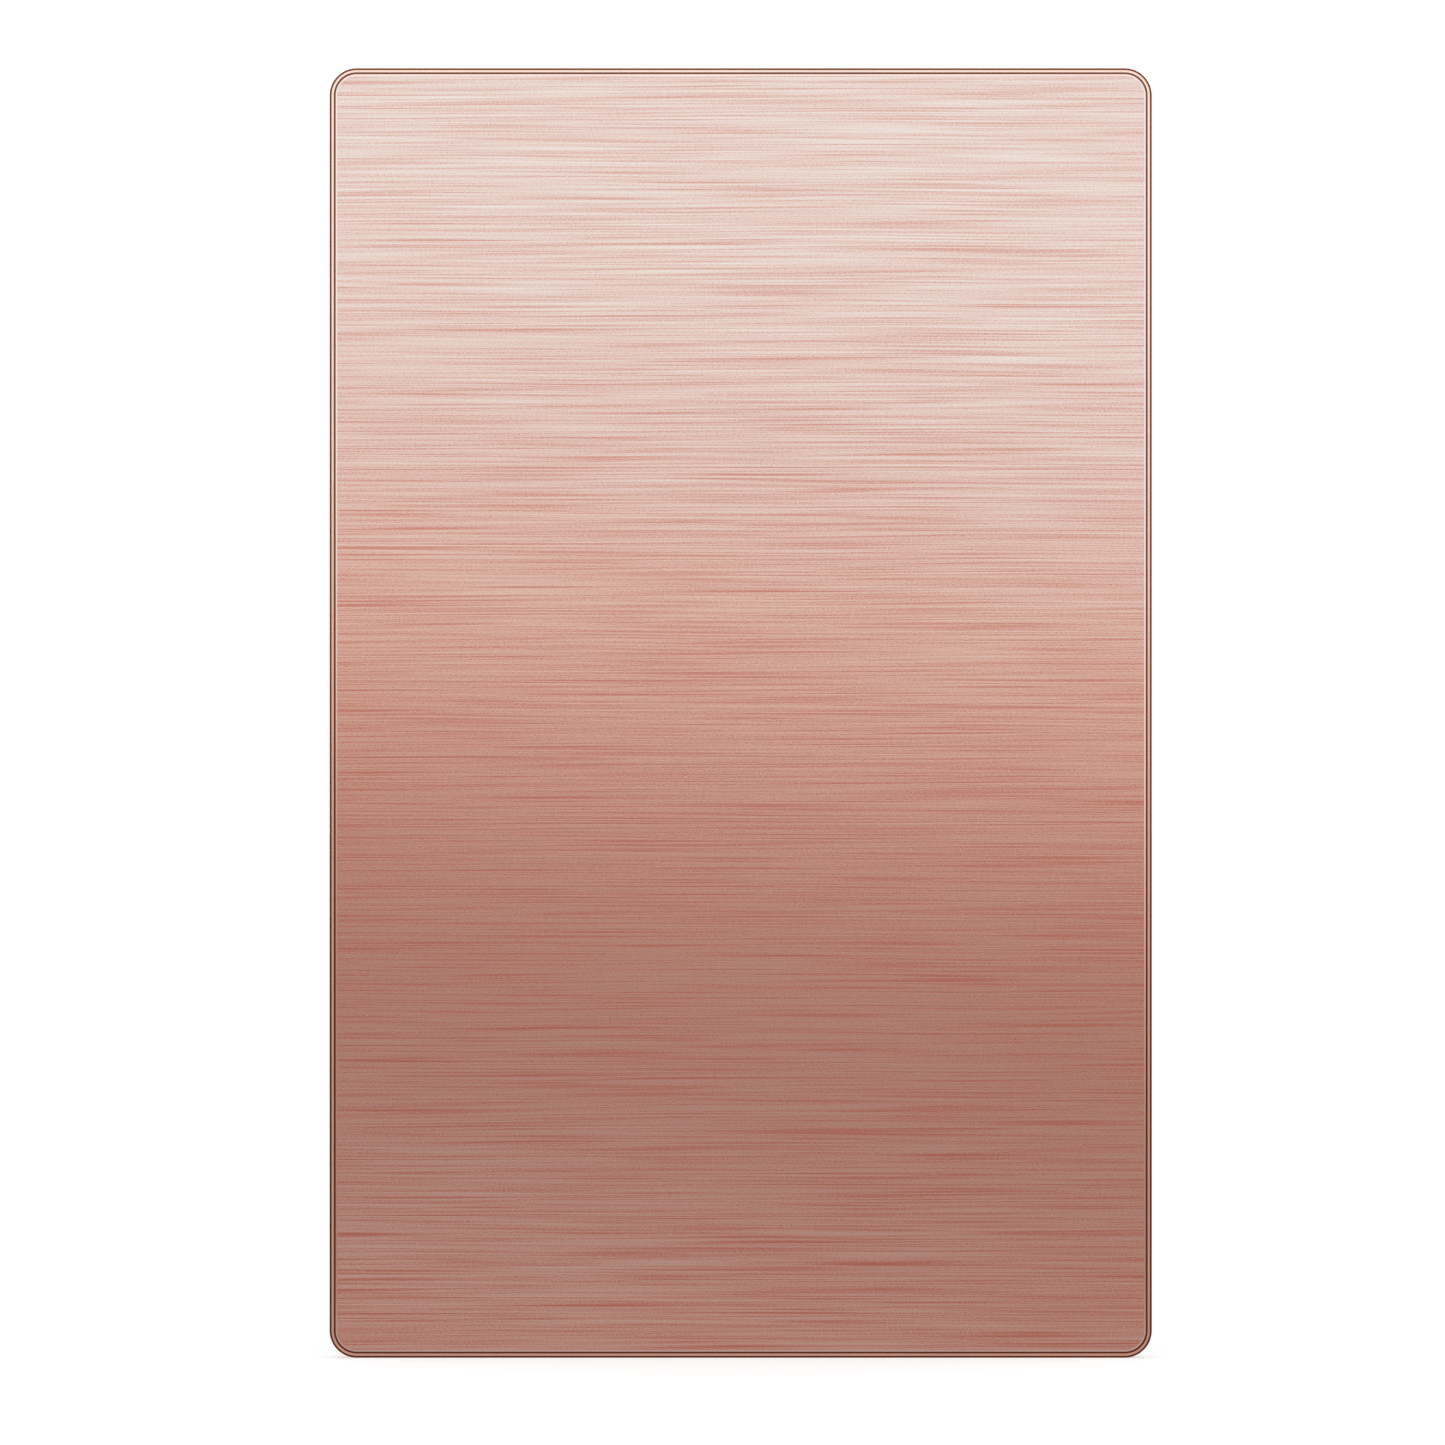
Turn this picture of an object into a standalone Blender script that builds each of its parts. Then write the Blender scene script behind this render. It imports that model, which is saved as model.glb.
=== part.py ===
"""Slim tablet computer, built as an assembly of separate pieces.

The pieces are drawn with the tablet lying on its glass: X across the width, Y up the height from the
middle, Z from the glass to the rear cover. The empty tablet_upright then stands it on its bottom edge,
so in the world +Z is up, the rear cover faces -Y and the display faces +Y.
Lengths here are in millimetres, and mm() turns them into metres.
"""

import math

import bmesh
import bpy
from mathutils import Matrix, Vector

# Driving sizes
WIDTH = 157.5
HEIGHT = 247.0
THICKNESS = 7.0
CORNER_RADIUS = 5.2
ACTIVE_WIDTH = 135.9
ACTIVE_HEIGHT = 226.5
CORNER_STEPS = 7

HALF_WIDTH = WIDTH / 2
HALF_HEIGHT = HEIGHT / 2
REAR = THICKNESS / 2
FRONT = -THICKNESS / 2

# Side frame section: distances inwards from the outline
RIM_WIDTH = 0.77
WALL = 1.3
GLASS_LIP = 0.95
REAR_LEDGE = 2.8
GLASS_LEDGE = 3.0
REAR_LEDGE_TOP = 2.5
REAR_LEDGE_UNDER = 2.1
GLASS_LEDGE_TOP = -2.6
GLASS_LEDGE_UNDER = -2.0

# Rear cover and its groove
GROOVE = 0.35
COVER_THICKNESS = 0.75
COVER_CHAMFER = 0.3

# Layers between the glass and the mid plate, as (front, rear) heights
GLASS_LAYER = (FRONT, -2.9)
GLASS_TAPE_LAYER = (-2.82, -2.68)
TOUCH_LAYER = (-2.82, -2.62)
LCD_LAYER = (-2.54, -1.74)
BACKLIGHT_LAYER = (-1.66, -0.76)
PLATE_LAYER = (-0.6, -0.2)
BOARD_LAYER = (0.1, 0.8)
BATTERY_LAYER = (-0.1, 2.35)
SPEAKER_LAYER = (-0.05, 2.35)
COVER_TAPE_LAYER = (2.56, 2.69)

# Every opening in the edges lies on one line
PORT_LINE = 0.4

# Keys on the +X edge
KEY_RECESS = 0.05
KEY_HEIGHT = 2.2
KEY_CLEARANCE = 0.2
POWER_Y = 100.5
POWER_LENGTH = 10.6
VOLUME_Y = 72.5
VOLUME_LENGTH = 22.0
VOLUME_SWITCH_OFFSET = 8.5
KEY_FLANGE_TOP = HALF_WIDTH - 1.65
KEY_FLANGE_THICKNESS = 0.6
KEY_NUB_HEIGHT = 0.4
SWITCH_FACE = HALF_WIDTH - 3.0

# Card slot on the -X edge
CARD_Y = 81.5
TRAY_HEAD_LENGTH = 16.5
TRAY_PLATE_Y = CARD_Y - 0.9
TRAY_PLATE_WIDTH = 12.4
TRAY_PLATE_THICKNESS = 0.9
TRAY_END_X = -60.1
EJECT_Y = CARD_Y + 6.6
EJECT_WIDTH = 0.85
LEVER_X = -57.9
LEVER_Y = CARD_Y + 1.0
LEVER_LENGTH = 12.6
PIVOT_PIN_RADIUS = 0.24
PIVOT_HOLE_RADIUS = 0.3
PIVOT_BOSS_RADIUS = 0.8

# Charging port on the bottom edge
USB_WIDTH = 8.94
USB_HEIGHT = 3.16
USB_DEPTH = 7.3
USB_WALL = 0.28

# Sound and microphones
SPEAKER_X = 52.0
SPEAKER_SIZE = (32.0, 17.5)
SOUND_SLOTS = 5
SOUND_SLOT_PITCH = 4.2
SOUND_SLOT_LENGTH = 3.2
SOUND_SLOT_HEIGHT = 1.0
TOP_MICROPHONE_X = 31.5
BOTTOM_MICROPHONE_X = -20.0
MICROPHONE_HOLE = 0.5

# Front camera at the middle of the top glass border
CAMERA_Y = 118.1
CAMERA_SIZE = 4.4
SENSOR_X = 7.0

MATERIALS = {
    "brushed_cover": ((0.58, 0.29, 0.22), 0.32, 1.0),
    "polished_rim": ((0.72, 0.42, 0.31), 0.18, 1.0),
    "front_glass": ((0.01, 0.01, 0.012), 0.05, 0.0),
    "adhesive": ((0.02, 0.02, 0.02), 0.8, 0.0),
    "panel": ((0.03, 0.03, 0.035), 0.25, 0.0),
    "light_guide": ((0.75, 0.76, 0.78), 0.4, 0.0),
    "plate_alloy": ((0.55, 0.56, 0.58), 0.45, 1.0),
    "board": ((0.02, 0.09, 0.06), 0.5, 0.0),
    "chip": ((0.02, 0.02, 0.022), 0.55, 0.0),
    "shield_steel": ((0.6, 0.6, 0.6), 0.35, 1.0),
    "graphite": ((0.06, 0.06, 0.065), 0.6, 0.2),
    "cell_wrap": ((0.35, 0.36, 0.38), 0.4, 0.6),
    "flex_film": ((0.4, 0.16, 0.03), 0.45, 0.0),
    "black_plastic": ((0.02, 0.02, 0.022), 0.5, 0.0),
    "mesh": ((0.08, 0.06, 0.055), 0.5, 0.8),
    "lens": ((0.01, 0.012, 0.03), 0.04, 0.0),
    "screw_steel": ((0.5, 0.5, 0.52), 0.3, 1.0),
}


def mm(value):
    return value / 1000


def clear_scene():
    for old in list(bpy.data.objects):
        bpy.data.objects.remove(old)


clear_scene()
parts = bpy.data.collections.new("tablet_computer")
cutters = bpy.data.collections.new("cutters")
bpy.context.scene.collection.children.link(parts)
bpy.context.scene.collection.children.link(cutters)

upright = bpy.data.objects.new("tablet_upright", None)
upright.rotation_euler = (math.pi / 2, 0, 0)
upright.location = (0, 0, mm(HALF_HEIGHT))
parts.objects.link(upright)


def material(name):
    found = bpy.data.materials.get(name)
    if found:
        return found
    color, roughness, metallic = MATERIALS[name]
    made = bpy.data.materials.new(name)
    made.use_nodes = True
    shader = made.node_tree.nodes["Principled BSDF"]
    shader.inputs["Base Color"].default_value = (*color, 1)
    shader.inputs["Roughness"].default_value = roughness
    shader.inputs["Metallic"].default_value = metallic
    return made


def add_part(name, mesh, location, material_name):
    """A finished piece, at its place in the lying tablet."""
    part = bpy.data.objects.new(name, mesh)
    part.location = [mm(value) for value in location]
    part.parent = upright
    mesh.materials.clear()
    mesh.materials.append(material(material_name))
    parts.objects.link(part)
    return part


def add_cutter(name, mesh, location):
    cutter = bpy.data.objects.new(name, mesh)
    cutter.location = [mm(value) for value in location]
    cutter.parent = upright
    cutter.hide_render = True
    cutter.display_type = "WIRE"
    cutters.objects.link(cutter)
    return cutter


def boolean(part, cutter, operation="DIFFERENCE"):
    modifier = part.modifiers.new(cutter.name, "BOOLEAN")
    modifier.object = cutter
    modifier.operation = operation
    modifier.solver = "EXACT"
    return modifier


def bevel(part, width, segments=1):
    modifier = part.modifiers.new("soft_edges", "BEVEL")
    modifier.width = mm(width)
    modifier.segments = segments
    modifier.limit_method = "ANGLE"
    modifier.angle_limit = math.radians(40)


# Outlines: lists of (x, y) in millimetres, anticlockwise


def rounded_rectangle(width, height, radius, steps=CORNER_STEPS):
    points = []
    corners = ((1, 1, 0), (-1, 1, 90), (-1, -1, 180), (1, -1, 270))
    for side_x, side_y, start in corners:
        center_x = side_x * (width / 2 - radius)
        center_y = side_y * (height / 2 - radius)
        for step in range(steps + 1):
            angle = math.radians(start + 90 * step / steps)
            points.append((center_x + radius * math.cos(angle), center_y + radius * math.sin(angle)))
    return points


def inset_outline(inset):
    return rounded_rectangle(WIDTH - 2 * inset, HEIGHT - 2 * inset, CORNER_RADIUS - inset)


def stadium(length, height, steps=5):
    """A slot with round ends; the ends stop just short of a half circle's full height."""
    return rounded_rectangle(length, height, height / 2 - 0.01, steps)


# Mesh makers


def add_spline(curve, points, cyclic=True):
    spline = curve.splines.new("POLY")
    spline.points.add(len(points) - 1)
    for spline_point, (x, y) in zip(spline.points, points):
        spline_point.co = (mm(x), mm(y), 0, 1)
    spline.use_cyclic_u = cyclic


def mesh_from_curve(curve, guide=None):
    """The curve's evaluated shape as a closed mesh."""
    holder = bpy.data.objects.new("curve_holder", curve)
    cutters.objects.link(holder)
    evaluated = holder.evaluated_get(bpy.context.evaluated_depsgraph_get())
    mesh = bpy.data.meshes.new_from_object(evaluated)
    bpy.data.objects.remove(holder)
    if guide:
        bpy.data.objects.remove(guide)
    shell = bmesh.new()
    shell.from_mesh(mesh)
    bmesh.ops.remove_doubles(shell, verts=shell.verts, dist=mm(0.002))
    if shell.calc_volume(signed=True) < 0:
        bmesh.ops.reverse_faces(shell, faces=shell.faces)
    shell.to_mesh(mesh)
    shell.free()
    return mesh


def prism_mesh(outline, thickness, holes=(), chamfer=0.0):
    """A flat outline, with holes, as thick as asked and centred on its middle."""
    curve = bpy.data.curves.new("outline", "CURVE")
    curve.dimensions = "2D"
    curve.fill_mode = "BOTH"
    curve.extrude = mm(thickness / 2 - chamfer)
    curve.bevel_depth = mm(chamfer)
    curve.bevel_resolution = 0
    curve.offset = -mm(chamfer)
    add_spline(curve, outline)
    for hole in holes:
        add_spline(curve, hole)
    return mesh_from_curve(curve)


def swept_mesh(path, section):
    """A closed section swept round a closed path; the section's x runs inwards from the path."""
    profile = bpy.data.curves.new("section", "CURVE")
    profile.dimensions = "2D"
    profile.fill_mode = "NONE"
    add_spline(profile, section)
    guide = bpy.data.objects.new("section_guide", profile)
    cutters.objects.link(guide)
    curve = bpy.data.curves.new("path", "CURVE")
    curve.dimensions = "2D"
    curve.fill_mode = "NONE"
    curve.bevel_mode = "OBJECT"
    curve.bevel_object = guide
    add_spline(curve, path)
    return mesh_from_curve(curve, guide)


def ribbon_mesh(path, width, thickness):
    """A flat cable: an open path in its own XY plane, widened along Z and given its thickness."""
    curve = bpy.data.curves.new("ribbon", "CURVE")
    curve.dimensions = "2D"
    curve.fill_mode = "NONE"
    curve.extrude = mm(width / 2)
    add_spline(curve, path, cyclic=False)
    mesh = mesh_from_curve(curve)
    holder = bpy.data.objects.new("ribbon_holder", mesh)
    cutters.objects.link(holder)
    wall = holder.modifiers.new("film", "SOLIDIFY")
    wall.thickness = mm(thickness)
    wall.offset = 0
    wall.use_even_offset = True
    evaluated = holder.evaluated_get(bpy.context.evaluated_depsgraph_get())
    film = bpy.data.meshes.new_from_object(evaluated)
    bpy.data.objects.remove(holder)
    shell = bmesh.new()
    shell.from_mesh(film)
    if shell.calc_volume(signed=True) < 0:
        bmesh.ops.reverse_faces(shell, faces=shell.faces)
    shell.to_mesh(film)
    shell.free()
    return film


def box_mesh(size):
    mesh = bpy.data.meshes.new("box")
    shape = bmesh.new()
    stretch = Matrix.Diagonal(Vector([mm(side) for side in size])).to_4x4()
    bmesh.ops.create_cube(shape, size=1.0, matrix=stretch)
    shape.to_mesh(mesh)
    shape.free()
    return mesh


def cylinder_mesh(radius, depth, segments=16, axis="Z"):
    mesh = bpy.data.meshes.new("cylinder")
    shape = bmesh.new()
    turn = {"X": Matrix.Rotation(math.pi / 2, 4, "Y"), "Y": Matrix.Rotation(math.pi / 2, 4, "X")}
    bmesh.ops.create_cone(
        shape,
        cap_ends=True,
        segments=segments,
        radius1=mm(radius),
        radius2=mm(radius),
        depth=mm(depth),
        matrix=turn.get(axis, Matrix.Identity(4)),
    )
    shape.to_mesh(mesh)
    shape.free()
    mesh.shade_smooth()
    mesh.set_sharp_from_angle(angle=math.radians(40))
    return mesh


# Placing helpers


def middle(layer):
    return (layer[0] + layer[1]) / 2


def depth_of(layer):
    return layer[1] - layer[0]


def plate(name, outline, layer, material_name, holes=(), chamfer=0.0, location=(0, 0)):
    mesh = prism_mesh(outline, depth_of(layer), holes, chamfer)
    return add_part(name, mesh, (*location, middle(layer)), material_name)


def block(name, x_range, y_range, z_range, material_name, edge=0.0):
    spans = (x_range, y_range, z_range)
    mesh = box_mesh([span[1] - span[0] for span in spans])
    part = add_part(name, mesh, [(span[0] + span[1]) / 2 for span in spans], material_name)
    if edge:
        bevel(part, edge)
    return part


def box_cutter(name, x_range, y_range, z_range):
    spans = (x_range, y_range, z_range)
    mesh = box_mesh([span[1] - span[0] for span in spans])
    return add_cutter(name, mesh, [(span[0] + span[1]) / 2 for span in spans])


def edge_prism(outline, depth, side):
    """A prism whose outline lies in an edge wall: its x along the edge and its y through the thickness.

    side is "X" for a long edge and "Y" for the top or bottom edge.
    """
    mesh = prism_mesh(outline, depth)
    if side == "X":
        turn = Matrix(((0, 0, 1), (1, 0, 0), (0, 1, 0)))
    else:
        turn = Matrix(((1, 0, 0), (0, 0, -1), (0, 1, 0)))
    mesh.transform(turn.to_4x4())
    return mesh


def key_cut(frame, name, length, height, y):
    mesh = edge_prism(stadium(length, height), 6.0, "X")
    boolean(frame, add_cutter(name, mesh, (HALF_WIDTH, y, PORT_LINE)))


# Casing


def build_side_frame():
    section = [
        (0, -2.8),
        (0.4, -3.2),
        (GLASS_LIP, -3.2),
        (GLASS_LIP, GLASS_LEDGE_TOP),
        (GLASS_LEDGE, GLASS_LEDGE_TOP),
        (GLASS_LEDGE, GLASS_LEDGE_UNDER),
        (WALL, GLASS_LEDGE_UNDER),
        (WALL, REAR_LEDGE_UNDER),
        (REAR_LEDGE, REAR_LEDGE_UNDER),
        (REAR_LEDGE, REAR_LEDGE_TOP),
        (RIM_WIDTH, REAR_LEDGE_TOP),
        (RIM_WIDTH, 3.28),
        (0.72, 3.40),
        (0.6, 3.45),
        (0.5, 3.45),
        (0.25, 3.383),
        (0.067, 3.2),
        (0, 2.95),
    ]
    mesh = swept_mesh(inset_outline(0), section)
    frame = add_part("side_frame", mesh, (0, 0, 0), "polished_rim")

    key_cut(frame, "power_slot", POWER_LENGTH + 2 * KEY_CLEARANCE, KEY_HEIGHT + 2 * KEY_CLEARANCE, POWER_Y)
    key_cut(frame, "volume_slot", VOLUME_LENGTH + 2 * KEY_CLEARANCE, KEY_HEIGHT + 2 * KEY_CLEARANCE, VOLUME_Y)

    tray_slot = edge_prism(stadium(TRAY_HEAD_LENGTH + 0.4, KEY_HEIGHT + 0.4), 6.0, "X")
    boolean(frame, add_cutter("tray_slot", tray_slot, (-HALF_WIDTH, CARD_Y, PORT_LINE)))

    usb_slot = edge_prism(stadium(USB_WIDTH + 0.6, USB_HEIGHT + 0.6, 7), 8.0, "Y")
    boolean(frame, add_cutter("usb_slot", usb_slot, (0, -HALF_HEIGHT, PORT_LINE)))

    for end_y in (HALF_HEIGHT, -HALF_HEIGHT):
        for speaker_x in (-SPEAKER_X, SPEAKER_X):
            for number in range(SOUND_SLOTS):
                x = speaker_x + (number - (SOUND_SLOTS - 1) / 2) * SOUND_SLOT_PITCH
                slot = edge_prism(stadium(SOUND_SLOT_LENGTH, SOUND_SLOT_HEIGHT, 3), 6.0, "Y")
                boolean(frame, add_cutter("sound_slot", slot, (x, end_y, PORT_LINE)))

    for x, y in ((TOP_MICROPHONE_X, HALF_HEIGHT), (BOTTOM_MICROPHONE_X, -HALF_HEIGHT)):
        hole = cylinder_mesh(MICROPHONE_HOLE, 6.0, 10, "Y")
        boolean(frame, add_cutter("microphone_hole", hole, (x, y, PORT_LINE)))


def build_rear_cover():
    inset = RIM_WIDTH + GROOVE
    layer = (REAR - COVER_THICKNESS, REAR)
    cover = plate("rear_cover", inset_outline(inset), layer, "brushed_cover")
    bevel(cover, COVER_CHAMFER)
    ring = inset_outline(WALL + 0.1)
    plate("rear_cover_tape", ring, COVER_TAPE_LAYER, "adhesive", [inset_outline(REAR_LEDGE - 0.2)])


def build_mid_plate():
    """Pressed plate with open notches for the keys, card socket, port, camera and flat cables."""
    edge = 2.2
    outline = rounded_rectangle(WIDTH - 2 * edge, HEIGHT - 2 * edge, CORNER_RADIUS - edge, 3)
    windows = []
    for x in (-36, 36):
        for y in (-46, 0, 46):
            shifted = rounded_rectangle(24, 14, 3, 3)
            windows.append([(px + x, py + y - 12) for px, py in shifted])
    middle_plate = plate("mid_plate", outline, PLATE_LAYER, "plate_alloy", windows)
    low, high = PLATE_LAYER[0] - 1, PLATE_LAYER[1] + 1
    boolean(middle_plate, box_cutter("key_notch", (73.1, 90), (VOLUME_Y - 14, POWER_Y + 8), (low, high)))
    boolean(middle_plate, box_cutter("card_notch", (-90, -55), (CARD_Y - 9, CARD_Y + 9), (low, high)))
    boolean(middle_plate, box_cutter("port_notch", (-5.5, 5.5), (-130, -114.6), (low, high)))
    boolean(middle_plate, box_cutter("camera_notch", (-25, 24), (115.3, 130), (low, high)))
    for x, y in MAIN_SCREWS + SUB_SCREWS:
        hole = cylinder_mesh(0.85, 4, 12)
        boolean(middle_plate, add_cutter("tapped_hole", hole, (x, y, middle(PLATE_LAYER))))


# Display


def build_display():
    glass_inset = GLASS_LIP + 0.25
    glass = plate("cover_glass", inset_outline(glass_inset), GLASS_LAYER, "front_glass")
    bevel(glass, 0.15)
    ring = inset_outline(WALL + 0.1)
    plate("glass_tape", ring, GLASS_TAPE_LAYER, "adhesive", [inset_outline(GLASS_LEDGE - 0.15)])

    touch = rounded_rectangle(ACTIVE_WIDTH + 4.6, ACTIVE_HEIGHT + 4.1, 1.0, 2)
    plate("touch_sensor", touch, TOUCH_LAYER, "panel")
    lcd = rounded_rectangle(ACTIVE_WIDTH + 3.6, ACTIVE_HEIGHT + 2.7, 0.5, 1)
    plate("lcd_panel", lcd, LCD_LAYER, "panel")
    backlight = rounded_rectangle(ACTIVE_WIDTH + 4.6, ACTIVE_HEIGHT + 3.9, 1.0, 2)
    plate("backlight_unit", backlight, BACKLIGHT_LAYER, "light_guide")


def folded_cable(name, x, width, start_y, start_z, drop_y, end_y):
    """A flat cable that leaves a panel's top edge, drops past the plate and folds back over the board."""
    radius = 0.5
    tail_z = BOARD_LAYER[1] + 0.35
    path = [(start_y, start_z)]
    for angle in (90, 60, 30, 0):
        turn = math.radians(angle)
        path.append((drop_y - radius + radius * math.cos(turn), start_z + radius - radius * math.sin(turn)))
    for angle in (0, 30, 60, 90):
        turn = math.radians(angle)
        path.append((drop_y - radius + radius * math.cos(turn), tail_z - radius + radius * math.sin(turn)))
    path.append((end_y, tail_z))
    mesh = ribbon_mesh(path, width, 0.12)
    mesh.transform(Matrix(((0, 0, 1), (1, 0, 0), (0, 1, 0))).to_4x4())
    return add_part(name, mesh, (x, 0, 0), "flex_film")


def build_display_cables():
    folded_cable("display_flex", -16, 15, 114.8, middle(LCD_LAYER), 117.4, 108.0)
    folded_cable("touch_flex", 18, 8, 115.6, middle(TOUCH_LAYER), 118.4, 109.0)


# Front camera and light sensor


def build_camera():
    half = CAMERA_SIZE / 2
    spans = ((-half, half), (CAMERA_Y - half, CAMERA_Y + half))
    block("front_camera_body", *spans, (-1.95, 0.6), "black_plastic", 0.2)
    lens = add_part("front_camera_lens", cylinder_mesh(1.6, 0.7, 24), (0, CAMERA_Y, -2.4), "lens")
    bevel(lens, 0.12)
    block("camera_flex", (-1.5, 1.5), (106, 119.5), (0.95, 1.07), "flex_film")

    spans = ((SENSOR_X - 0.9, SENSOR_X + 0.9), (CAMERA_Y - 0.7, CAMERA_Y + 0.7))
    block("light_sensor", *spans, (-2.75, -2.2), "lens")
    folded_cable("sensor_flex", SENSOR_X, 1.6, CAMERA_Y - 0.7, -2.02, CAMERA_Y + 1.6, 109.5)


# Boards

MAIN_SCREWS = [(-50.5, 78.0), (66.5, 78.0), (66.5, 98.0), (-34.5, 116.5)]
SUB_SCREWS = [(-27.0, -111.0), (27.0, -111.0)]


def screw_hole(board, x, y):
    hole = cylinder_mesh(0.85, 4, 12)
    boolean(board, add_cutter("screw_hole", hole, (x, y, middle(BOARD_LAYER))))


def add_screw(name, x, y):
    """A flat-headed screw through a board into the mid plate, with its cross recess left plain."""
    head = add_part(name, cylinder_mesh(1.25, 0.5, 16), (x, y, BOARD_LAYER[1] + 0.35), "screw_steel")
    shank = add_cutter(name + "_shank", cylinder_mesh(0.7, 1.7, 12), (x, y, BOARD_LAYER[1] - 0.65))
    boolean(head, shank, "UNION")
    slot = box_cutter(name + "_drive", (x - 0.7, x + 0.7), (y - 0.15, y + 0.15), (1.2, 2))
    boolean(head, slot)


def build_main_board():
    outline = [
        (-54, 74.5),
        (69.3, 74.5),
        (69.3, 101.0),
        (38, 101.0),
        (38, 119.5),
        (25, 119.5),
        (25, 115.0),
        (-25, 115.0),
        (-25, 119.5),
        (-38, 119.5),
        (-38, 101.0),
        (-54, 101.0),
    ]
    board = plate("main_board", outline, BOARD_LAYER, "board")
    for x, y in MAIN_SCREWS:
        screw_hole(board, x, y)
    top = BOARD_LAYER[1]
    block("processor_chip", (-24, -10), (82, 96), (top + 0.06, top + 0.9), "chip", 0.1)
    block("memory_chip", (-6, 6), (83, 95), (top + 0.06, top + 0.8), "chip", 0.1)
    shield_can("processor_shield", (-29, 10), (79, 99))
    shield_can("radio_shield", (24, 55), (80, 98))
    thermal = [(x, y + 89) for x, y in rounded_rectangle(78, 18, 1.5, 3)]
    plate("thermal_pad", thermal, (2.38, 2.54), "graphite", location=(5, 0))
    microphone("top_microphone", TOP_MICROPHONE_X, (116.4, 119.1))


def shield_can(name, x_range, y_range):
    """A pressed steel cover, open towards the board."""
    low, high = BOARD_LAYER[1] + 0.06, 2.28
    can = block(name, x_range, y_range, (low, high), "shield_steel")
    wall = 0.2
    inside = box_cutter(
        name + "_inside",
        (x_range[0] + wall, x_range[1] - wall),
        (y_range[0] + wall, y_range[1] - wall),
        (low - 1, high - wall),
    )
    boolean(can, inside)


def microphone(name, x, y_range):
    top = BOARD_LAYER[1]
    block(name, (x - 1.8, x + 1.8), y_range, (top + 0.06, top + 1.0), "shield_steel", 0.1)


def build_sub_board():
    outline = [
        (-32, -119.5),
        (-5.6, -119.5),
        (-5.6, -114.8),
        (5.6, -114.8),
        (5.6, -119.5),
        (32, -119.5),
        (32, -103.5),
        (-32, -103.5),
    ]
    board = plate("sub_board", outline, BOARD_LAYER, "board")
    for x, y in SUB_SCREWS:
        screw_hole(board, x, y)
    microphone("bottom_microphone", BOTTOM_MICROPHONE_X, (-119.1, -116.4))

    mouth = -HALF_HEIGHT + 0.5
    shell = edge_prism(stadium(USB_WIDTH, USB_HEIGHT, 7), USB_DEPTH, "Y")
    part = add_part("usb_c_shell", shell, (0, mouth + USB_DEPTH / 2, PORT_LINE), "shield_steel")
    bore = edge_prism(stadium(USB_WIDTH - 2 * USB_WALL, USB_HEIGHT - 2 * USB_WALL, 7), USB_DEPTH, "Y")
    boolean(part, add_cutter("usb_bore", bore, (0, mouth + USB_DEPTH / 2 - 1.0, PORT_LINE)))
    tongue = (mouth + 1.1, mouth + USB_DEPTH - 1.1)
    block("usb_c_tongue", (-3.35, 3.35), tongue, (PORT_LINE - 0.35, PORT_LINE + 0.35), "black_plastic", 0.12)


def build_link_cable():
    """The long flat cable behind the cells, from the sub board to the main board."""
    rise = 0.4
    high = 2.53
    low = BOARD_LAYER[1] + 0.35
    path = [
        (-108.0, low),
        (-103.2, low),
        (-102.4, low + rise),
        (-100.4, high - rise),
        (-99.6, high),
        (66.4, high),
        (67.4, high - rise),
        (74.2, low + rise),
        (75.2, low),
        (78.0, low),
    ]
    mesh = ribbon_mesh(path, 11, 0.12)
    mesh.transform(Matrix(((0, 0, 1), (1, 0, 0), (0, 1, 0))).to_4x4())
    add_part("board_link_flex", mesh, (20, 0, 0), "flex_film")


def build_antennas():
    for name, x_range in (("wifi_antenna", (-44, -27)), ("bluetooth_antenna", (27, 44))):
        block(name, x_range, (116.0, 121.6), (-1.9, -0.95), "black_plastic", 0.2)


# Battery


def build_battery():
    low, high = BATTERY_LAYER
    for name, side in (("battery_cell_left", -1), ("battery_cell_right", 1)):
        outline = [(x + side * 36, y) for x, y in rounded_rectangle(69, 158, 1.2, 3)]
        plate(name, outline, BATTERY_LAYER, "cell_wrap", location=(0, -17.5))
    block("battery_protection_board", (-24, 2), (63.2, 67.2), (low + 0.3, low + 1.5), "board", 0.1)
    path = [(64.5, 1.65), (72.0, 1.65), (73.2, 1.15), (77.0, 1.15)]
    mesh = ribbon_mesh(path, 9, 0.12)
    mesh.transform(Matrix(((0, 0, 1), (1, 0, 0), (0, 1, 0))).to_4x4())
    add_part("battery_flex", mesh, (-12, 0, 0), "flex_film")


# Sound


def build_speakers():
    low, high = SPEAKER_LAYER
    length, depth = SPEAKER_SIZE
    ends = (("top", 1), ("bottom", -1))
    sides = (("left", -1), ("right", 1))
    for end_name, end in ends:
        for side_name, side in sides:
            name = f"{end_name}_{side_name}"
            x = side * SPEAKER_X
            x_span = (x - length / 2 + side * 4, x + length / 2 + side * 4)
            outer = end * (HALF_HEIGHT - 3.6)
            y_span = sorted((outer, outer - end * depth))
            block("speaker_" + name, x_span, y_span, (low, high), "black_plastic", 0.5)
            mesh_y = sorted((end * (HALF_HEIGHT - 1.85), end * (HALF_HEIGHT - 1.6)))
            reach = SOUND_SLOTS * SOUND_SLOT_PITCH / 2 + 0.6
            z_span = (PORT_LINE - 0.9, PORT_LINE + 0.9)
            block("speaker_mesh_" + name, (x - reach, x + reach), mesh_y, z_span, "mesh")


# Keys


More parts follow.
